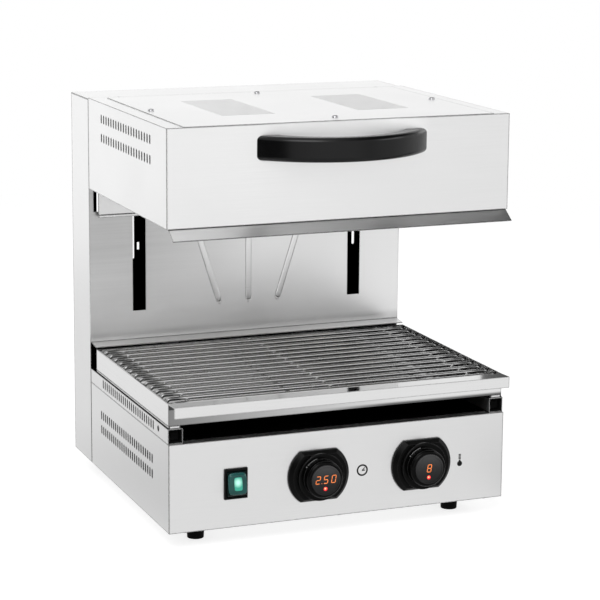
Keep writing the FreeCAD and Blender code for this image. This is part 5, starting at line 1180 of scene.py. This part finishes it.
class SALAMANDER_OT_runner_liners(bpy.types.Operator):
    """Line the seam between each tray runner and its channel with a black strip, painted shade that stands for the
    dark of the seam
    """
    bl_idname = "salamander.runner_liners"
    bl_label = "Runner liners"

    def execute(self, context):
        shelf, clear = 0.00025, 0.00002
        for word, side in (("left", -1), ("right", 1)):
            low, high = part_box("side_channel_" + word)
            head, top = low.z + CHANNEL_SIZE, high.z - 0.0001
            outline = ((SEAM_RIM, head + clear), (SEAM_RIM, head + shelf), (SEAM_WALL + shelf, head + shelf),
                       (SEAM_WALL + shelf, top), (SEAM_WALL, top), (SEAM_WALL, head + clear))
            mesh = bmesh.new()
            ends = [[mesh.verts.new((side * x, y, z)) for x, z in outline] for y in SEAM_ENDS]
            bridge(mesh, ends, smooth_faces=False)
            for end in ends:
                mesh.faces.new(end)
            bmesh.ops.recalc_face_normals(mesh, faces=mesh.faces[:])
            finish_piece("runner_shade_liner_" + word, mesh, "housing", "black_steel")
        return {"FINISHED"}


# y of the back panel's face, and (x, z) of the foot and the head of each pressed bead
BACK_FACE = 0.15
PRESSED_BEADS = (((0.0, 0.246), (0.0, 0.503)), ((-0.0448, 0.246), (-0.1257, 0.503)),
                 ((0.0448, 0.246), (0.1257, 0.503)))


class SALAMANDER_OT_pressed_beads(bpy.types.Operator):
    """Round the three pressed beads of the back panel into smooth swellings"""
    bl_idname = "salamander.pressed_beads"
    bl_label = "Pressed beads"

    def execute(self, context):
        s = fittings()
        half, steps = s.bead_width / 2, 48
        mesh = bmesh.new()
        for foot, head in PRESSED_BEADS:
            start, end = Vector(foot), Vector(head)
            along = (end - start).normalized()
            side = Vector((-along.y, along.x))
            reach = (end - start).length + 2 * half
            rows = []
            for k in range(steps + 1):
                # both ends run out round
                travel = reach * k / steps
                near = min(travel, reach - travel)
                swell = 1.0 if near >= half * 2 else max(0.0, 1 - (1 - near / (half * 2)) ** 2) ** 0.5
                spot = start + along * (travel - half)
                row = []
                for t in [j / 6 - 1 for j in range(13)]:
                    x, z = spot + side * half * t * swell
                    rise = s.bead_height * swell * (1 - t ** 4) ** 0.8
                    row.append(mesh.verts.new((x, BACK_FACE - 0.00005 - rise, z)))
                rows.append(row)
            bridge(mesh, rows, closed=False)
        bmesh.ops.remove_doubles(mesh, verts=mesh.verts[:], dist=0.000001)
        bmesh.ops.recalc_face_normals(mesh, faces=mesh.faces[:])
        piece = finish_piece("pressed_beads", mesh, "housing", "stainless", pressed_steel())
        thicken(piece, "bead back", 0.00004)
        return {"FINISHED"}


class SALAMANDER_OT_pointers(bpy.types.Operator):
    """Lay the pale index dot and a fine pale arc on each knob's collar"""
    bl_idname = "salamander.pointers"
    bl_label = "Knob pointers"

    def execute(self, context):
        m = marks()
        ink = two_tone("Pointer ink", marks_of(160), (m.pointer_ink, scaled(m.pointer_ink, 0.8)), (0.35, 0.5),
                       Specular_IOR_Level=0.2)
        reach, thickness, line_width, dot_radius = m.pointer_reach, 0.00005, 0.0006, 0.0008
        turns = [math.radians(degrees) for degrees in range(104, 139, 2)]
        dot = math.radians(143)
        for word, centre in (("timer", TIMER_CENTRE), ("level", LEVEL_CENTRE)):
            skin = surface(word + "_ring")
            mesh = bmesh.new()
            face = front_of(skin, centre.x + reach * math.cos(turns[0]), centre.z + reach * math.sin(turns[0]))
            add_arc(mesh, (centre.x, centre.z), reach, line_width, turns, face, thickness)
            x, z = centre.x + reach * math.cos(dot), centre.z + reach * math.sin(dot)
            add_plate(mesh, round_points(x, z, dot_radius, 16), front_of(skin, x, z), thickness)
            finish_piece(word + "_pointer", mesh, word + "_knob", "bezel_plastic", ink)
        return {"FINISHED"}


# ---------------------------------------------------------------- studio

def empty_material(name):
    """A material without any node; returns it and its tree."""
    made = bpy.data.materials.new(name)
    made.use_nodes = True
    made.node_tree.nodes.clear()
    return made, made.node_tree


def stage_piece(name, mesh, material):
    """Turns a bmesh into a piece of the studio."""
    data = bpy.data.meshes.new(name)
    mesh.to_mesh(data)
    mesh.free()
    data.materials.append(material)
    made = bpy.data.objects.new(name, data)
    bpy.context.scene.collection.objects.link(made)
    return made


def seen_rays(tree):
    """1 for camera, glossy and transmission rays, 0 for the light that falls on the object."""
    path = add_node(tree, "ShaderNodeLightPath").outputs
    first = math_node(tree, "MAXIMUM", path["Is Camera Ray"], path["Is Glossy Ray"])
    return math_node(tree, "MAXIMUM", first, path["Is Transmission Ray"])


def card_material(name, tones):
    """Evenly lit paper; tones builds its brightness and its cover from the place on the card."""
    paper, tree = empty_material(name)
    brightness, cover = tones(tree, place_of(tree))
    lit = add_node(tree, "ShaderNodeEmission", {"Color": WHITE, "Strength": brightness}).outputs[0]
    clear = add_node(tree, "ShaderNodeBsdfTransparent").outputs[0]
    mixed = add_node(tree, "ShaderNodeMixShader", {0: cover, 1: clear, 2: lit}).outputs[0]
    add_node(tree, "ShaderNodeOutputMaterial", {"Surface": mixed})
    return paper


def table_mat_tones(tree, spot):
    """Pale in front, a little darker on the left, dark in the object's shade on the right."""
    x, y = spot["X"], spot["Y"]
    shade = product(tree, smooth(tree, x, 0.25, 0.42), smooth(tree, y, -0.55, -0.20))
    left = product(tree, smooth(tree, x, -0.20, -0.31), smooth(tree, y, -0.30, -0.05),
                   smooth(tree, y, 0.10, 0.55, 1.0, 0.1))
    far = product(tree, smooth(tree, x, 0.56, 0.34), smooth(tree, y, -1.20, -1.50))
    tone = 0.88
    for mask, depth in ((shade, 0.76), (left, 0.20), (far, 0.42)):
        tone = math_node(tree, "SUBTRACT", tone, product(tree, mask, depth))
    across = add_node(tree, "ShaderNodeCombineXYZ", {"X": x, "Y": y}).outputs[0]
    return tone, smooth(tree, distance_of(tree, across), 1.6, 2.1, 1.0, 0.0)


def front_card_tones(tree, spot):
    """Bright, weaker towards the right and clear at its right end."""
    return smooth(tree, spot["X"], 0.35, 1.05, 1.18, 0.84), smooth(tree, spot["X"], 0.9, 1.6, 1.0, 0.0)


def right_flag_tones(tree, spot):
    """Nearly black at its foot, lighter and then clear towards its head."""
    return smooth(tree, spot["Z"], 0.10, 0.55, 0.03, 0.20), smooth(tree, spot["Z"], 0.42, 0.60, 1.0, 0.0)


def top_flag_tones(tree, spot):
    """Black, and clear at its left end."""
    return 0.02, smooth(tree, spot["X"], 0.0, 0.62)


def left_flag_tones(tree, spot):
    """Black, and clear at its front end."""
    return 0.01, smooth(tree, spot["Y"], -1.15, -0.95)


def rear_card_tones(tree, spot):
    """Bright, and clear towards its head."""
    return 1.13, smooth(tree, spot["Z"], 1.2, 1.5, 1.0, 0.0)


def level_card(start, end, z):
    """Corners of a card that lies level between two corners of (x, y)."""
    return [(start[0], start[1], z), (end[0], start[1], z), (end[0], end[1], z), (start[0], end[1], z)]


def upright_card(start, end, foot, head):
    """Corners of a card that stands on the line between two points of (x, y)."""
    return [(*start, foot), (*end, foot), (*end, head), (*start, head)]


CARDS = {
    "table_mat": (level_card((-2.2, -2.2), (2.2, 2.2), 0.0004), table_mat_tones),
    "front_card": (upright_card((-0.8, -1.7), (1.6, -1.7), 0.002, 1.0), front_card_tones),
    "right_flag": (upright_card((0.42, 0.02), (0.75, 0.9), 0.02, 0.62), right_flag_tones),
    "top_flag": (level_card((-0.1, -1.4), (1.9, 0.5), 1.46), top_flag_tones),
    "left_flag": (upright_card((-1.0, -1.2), (-1.0, -0.25), 0.1, 0.9), left_flag_tones),
    "rear_card": (upright_card((-2.6, 2.05), (2.6, 2.05), 0.002, 1.6), rear_card_tones),
}


class SALAMANDER_OT_cards(bpy.types.Operator):
    """Stand the cards round the grill that give its metal bright and dark reflections"""
    bl_idname = "salamander.cards"
    bl_label = "Reflection cards"

    def execute(self, context):
        for name, (corners, tones) in CARDS.items():
            mesh = bmesh.new()
            mesh.faces.new([mesh.verts.new(corner) for corner in corners])
            card = stage_piece(name, mesh, card_material(name.replace("_", " ").capitalize(), tones))
            card.visible_camera = card.visible_diffuse = card.visible_shadow = card.visible_transmission = False
        return {"FINISHED"}


def floor_paper(s):
    """Pale paper that turns plain white with the distance."""
    paper, tree = empty_material("Floor paper")
    distance = distance_of(tree, add_node(tree, "ShaderNodeTexCoord").outputs["Object"])
    tone = blend_colours(tree, clouds(tree, 3, 1), s.floor_tone, scaled(s.floor_tone, 0.985))
    lit = add_node(tree, "ShaderNodeBsdfDiffuse", {"Color": tone}).outputs[0]
    seen = seen_rays(tree)
    lift = add_node(tree, "ShaderNodeEmission", {"Color": WHITE, "Strength": product(tree, seen, s.floor_lift)})
    near = add_node(tree, "ShaderNodeAddShader", {0: lit, 1: lift.outputs[0]}).outputs[0]
    plain = add_node(tree, "ShaderNodeEmission", {"Color": WHITE, "Strength": 1.0}).outputs[0]
    fade = product(tree, smooth(tree, distance, s.fade_start, s.fade_end), seen)
    mixed = add_node(tree, "ShaderNodeMixShader", {0: fade, 1: near, 2: plain}).outputs[0]
    add_node(tree, "ShaderNodeOutputMaterial", {"Surface": mixed})
    return paper


def area_lamp(name, place, aim, size, energy):
    """A rectangular lamp at the place that points at the aim."""
    data = bpy.data.lights.new(name, "AREA")
    data.shape = "RECTANGLE"
    data.size, data.size_y = size
    data.energy = energy
    lamp = bpy.data.objects.new(name, data)
    lamp.location = place
    lamp.rotation_euler = (Vector(aim) - Vector(place)).to_track_quat("-Z", "Y").to_euler()
    bpy.context.scene.collection.objects.link(lamp)


def camera_turn(azimuth, elevation, roll):
    """Rotation of a camera that looks at the object from an angle."""
    back = Vector((math.sin(azimuth) * math.cos(elevation), -math.cos(azimuth) * math.cos(elevation),
                   math.sin(elevation)))
    right = Vector((0, 0, 1)).cross(back).normalized()
    up = back.cross(right)
    across = right * math.cos(roll) + up * math.sin(roll)
    upward = up * math.cos(roll) - right * math.sin(roll)
    return Matrix((across, upward, back)).transposed().to_4x4()


class SALAMANDER_OT_studio(bpy.types.Operator):
    """Set up the pale floor, the soft lamps, the surroundings and the camera"""
    bl_idname = "salamander.studio"
    bl_label = "Studio"

    def execute(self, context):
        s = studio()
        scene = context.scene

        mesh = bmesh.new()
        bmesh.ops.create_circle(mesh, cap_ends=True, segments=96, radius=s.floor_radius)
        floor = stage_piece("studio_floor", mesh, floor_paper(s))
        floor.location.z = -0.0002

        world = scene.world = bpy.data.worlds.new("Studio surroundings")
        world.use_nodes = True
        tree = world.node_tree
        tree.nodes.clear()
        level = remap(tree, seen_rays(tree), 0, 1, s.sky_level, 1.0)
        sky = add_node(tree, "ShaderNodeBackground", {"Color": WHITE, "Strength": level}).outputs[0]
        add_node(tree, "ShaderNodeOutputWorld", {"Surface": sky})

        aim = (0, 0, 0.3)
        area_lamp("key_lamp", (-1.3, -2.2, 2.6), aim, (1.8, 1.8), s.key_power)
        area_lamp("fill_lamp", (2.6, -1.6, 1.6), aim, (1.6, 1.6), s.fill_power)
        area_lamp("back_lamp", (-1.6, 2.6, 2.0), aim, (2.8, 2.2), s.back_power)

        data = bpy.data.cameras.new("studio_camera")
        data.lens = s.focal_length
        data.sensor_width = 36
        data.shift_x, data.shift_y = s.shift_across, s.shift_up
        camera = bpy.data.objects.new("studio_camera", data)
        turn = camera_turn(s.camera_azimuth, s.camera_elevation, s.camera_roll)
        camera.matrix_world = Matrix.Translation(s.camera_place) @ turn
        scene.collection.objects.link(camera)
        scene.camera = camera
        scene.view_settings.view_transform = "Standard"
        return {"FINISHED"}


class SALAMANDER_PT_panel(bpy.types.Panel):
    """Lists the grill's pieces and the studio"""
    bl_idname = "SALAMANDER_PT_panel"
    bl_label = "Salamander grill"
    bl_space_type = "VIEW_3D"
    bl_region_type = "UI"
    bl_category = "Salamander"

    def draw(self, context):
        for operator in OPERATORS:
            self.layout.operator(operator.bl_idname)
        for key in GROUPS:
            box = self.layout.box()
            settings = getattr(context.scene, key)
            for name in settings.__annotations__:
                box.prop(settings, name)


OPERATORS = (SALAMANDER_OT_finishes, SALAMANDER_OT_readings, SALAMANDER_OT_lamps, SALAMANDER_OT_symbols,
             SALAMANDER_OT_rocker_lens, SALAMANDER_OT_screw_heads, SALAMANDER_OT_welds,
             SALAMANDER_OT_channel_plugs, SALAMANDER_OT_runner_liners, SALAMANDER_OT_pressed_beads,
             SALAMANDER_OT_pointers, SALAMANDER_OT_cards, SALAMANDER_OT_studio)


def register():
    """Registers the settings, the operators and the panel."""
    for group in GROUPS.values():
        bpy.utils.register_class(group)
    for key, group in GROUPS.items():
        setattr(bpy.types.Scene, key, PointerProperty(type=group))
    for operator in OPERATORS:
        bpy.utils.register_class(operator)
    bpy.utils.register_class(SALAMANDER_PT_panel)


def unregister():
    """Takes them away again."""
    bpy.utils.unregister_class(SALAMANDER_PT_panel)
    for operator in reversed(OPERATORS):
        bpy.utils.unregister_class(operator)
    for key, group in GROUPS.items():
        delattr(bpy.types.Scene, key)
        bpy.utils.unregister_class(group)


def main():
    """Makes every piece in order."""
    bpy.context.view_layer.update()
    register()
    for piece in OPERATORS:
        group, name = piece.bl_idname.split(".")
        getattr(getattr(bpy.ops, group), name)()
    bpy.context.view_layer.update()


if __name__ == "__main__":
    main()
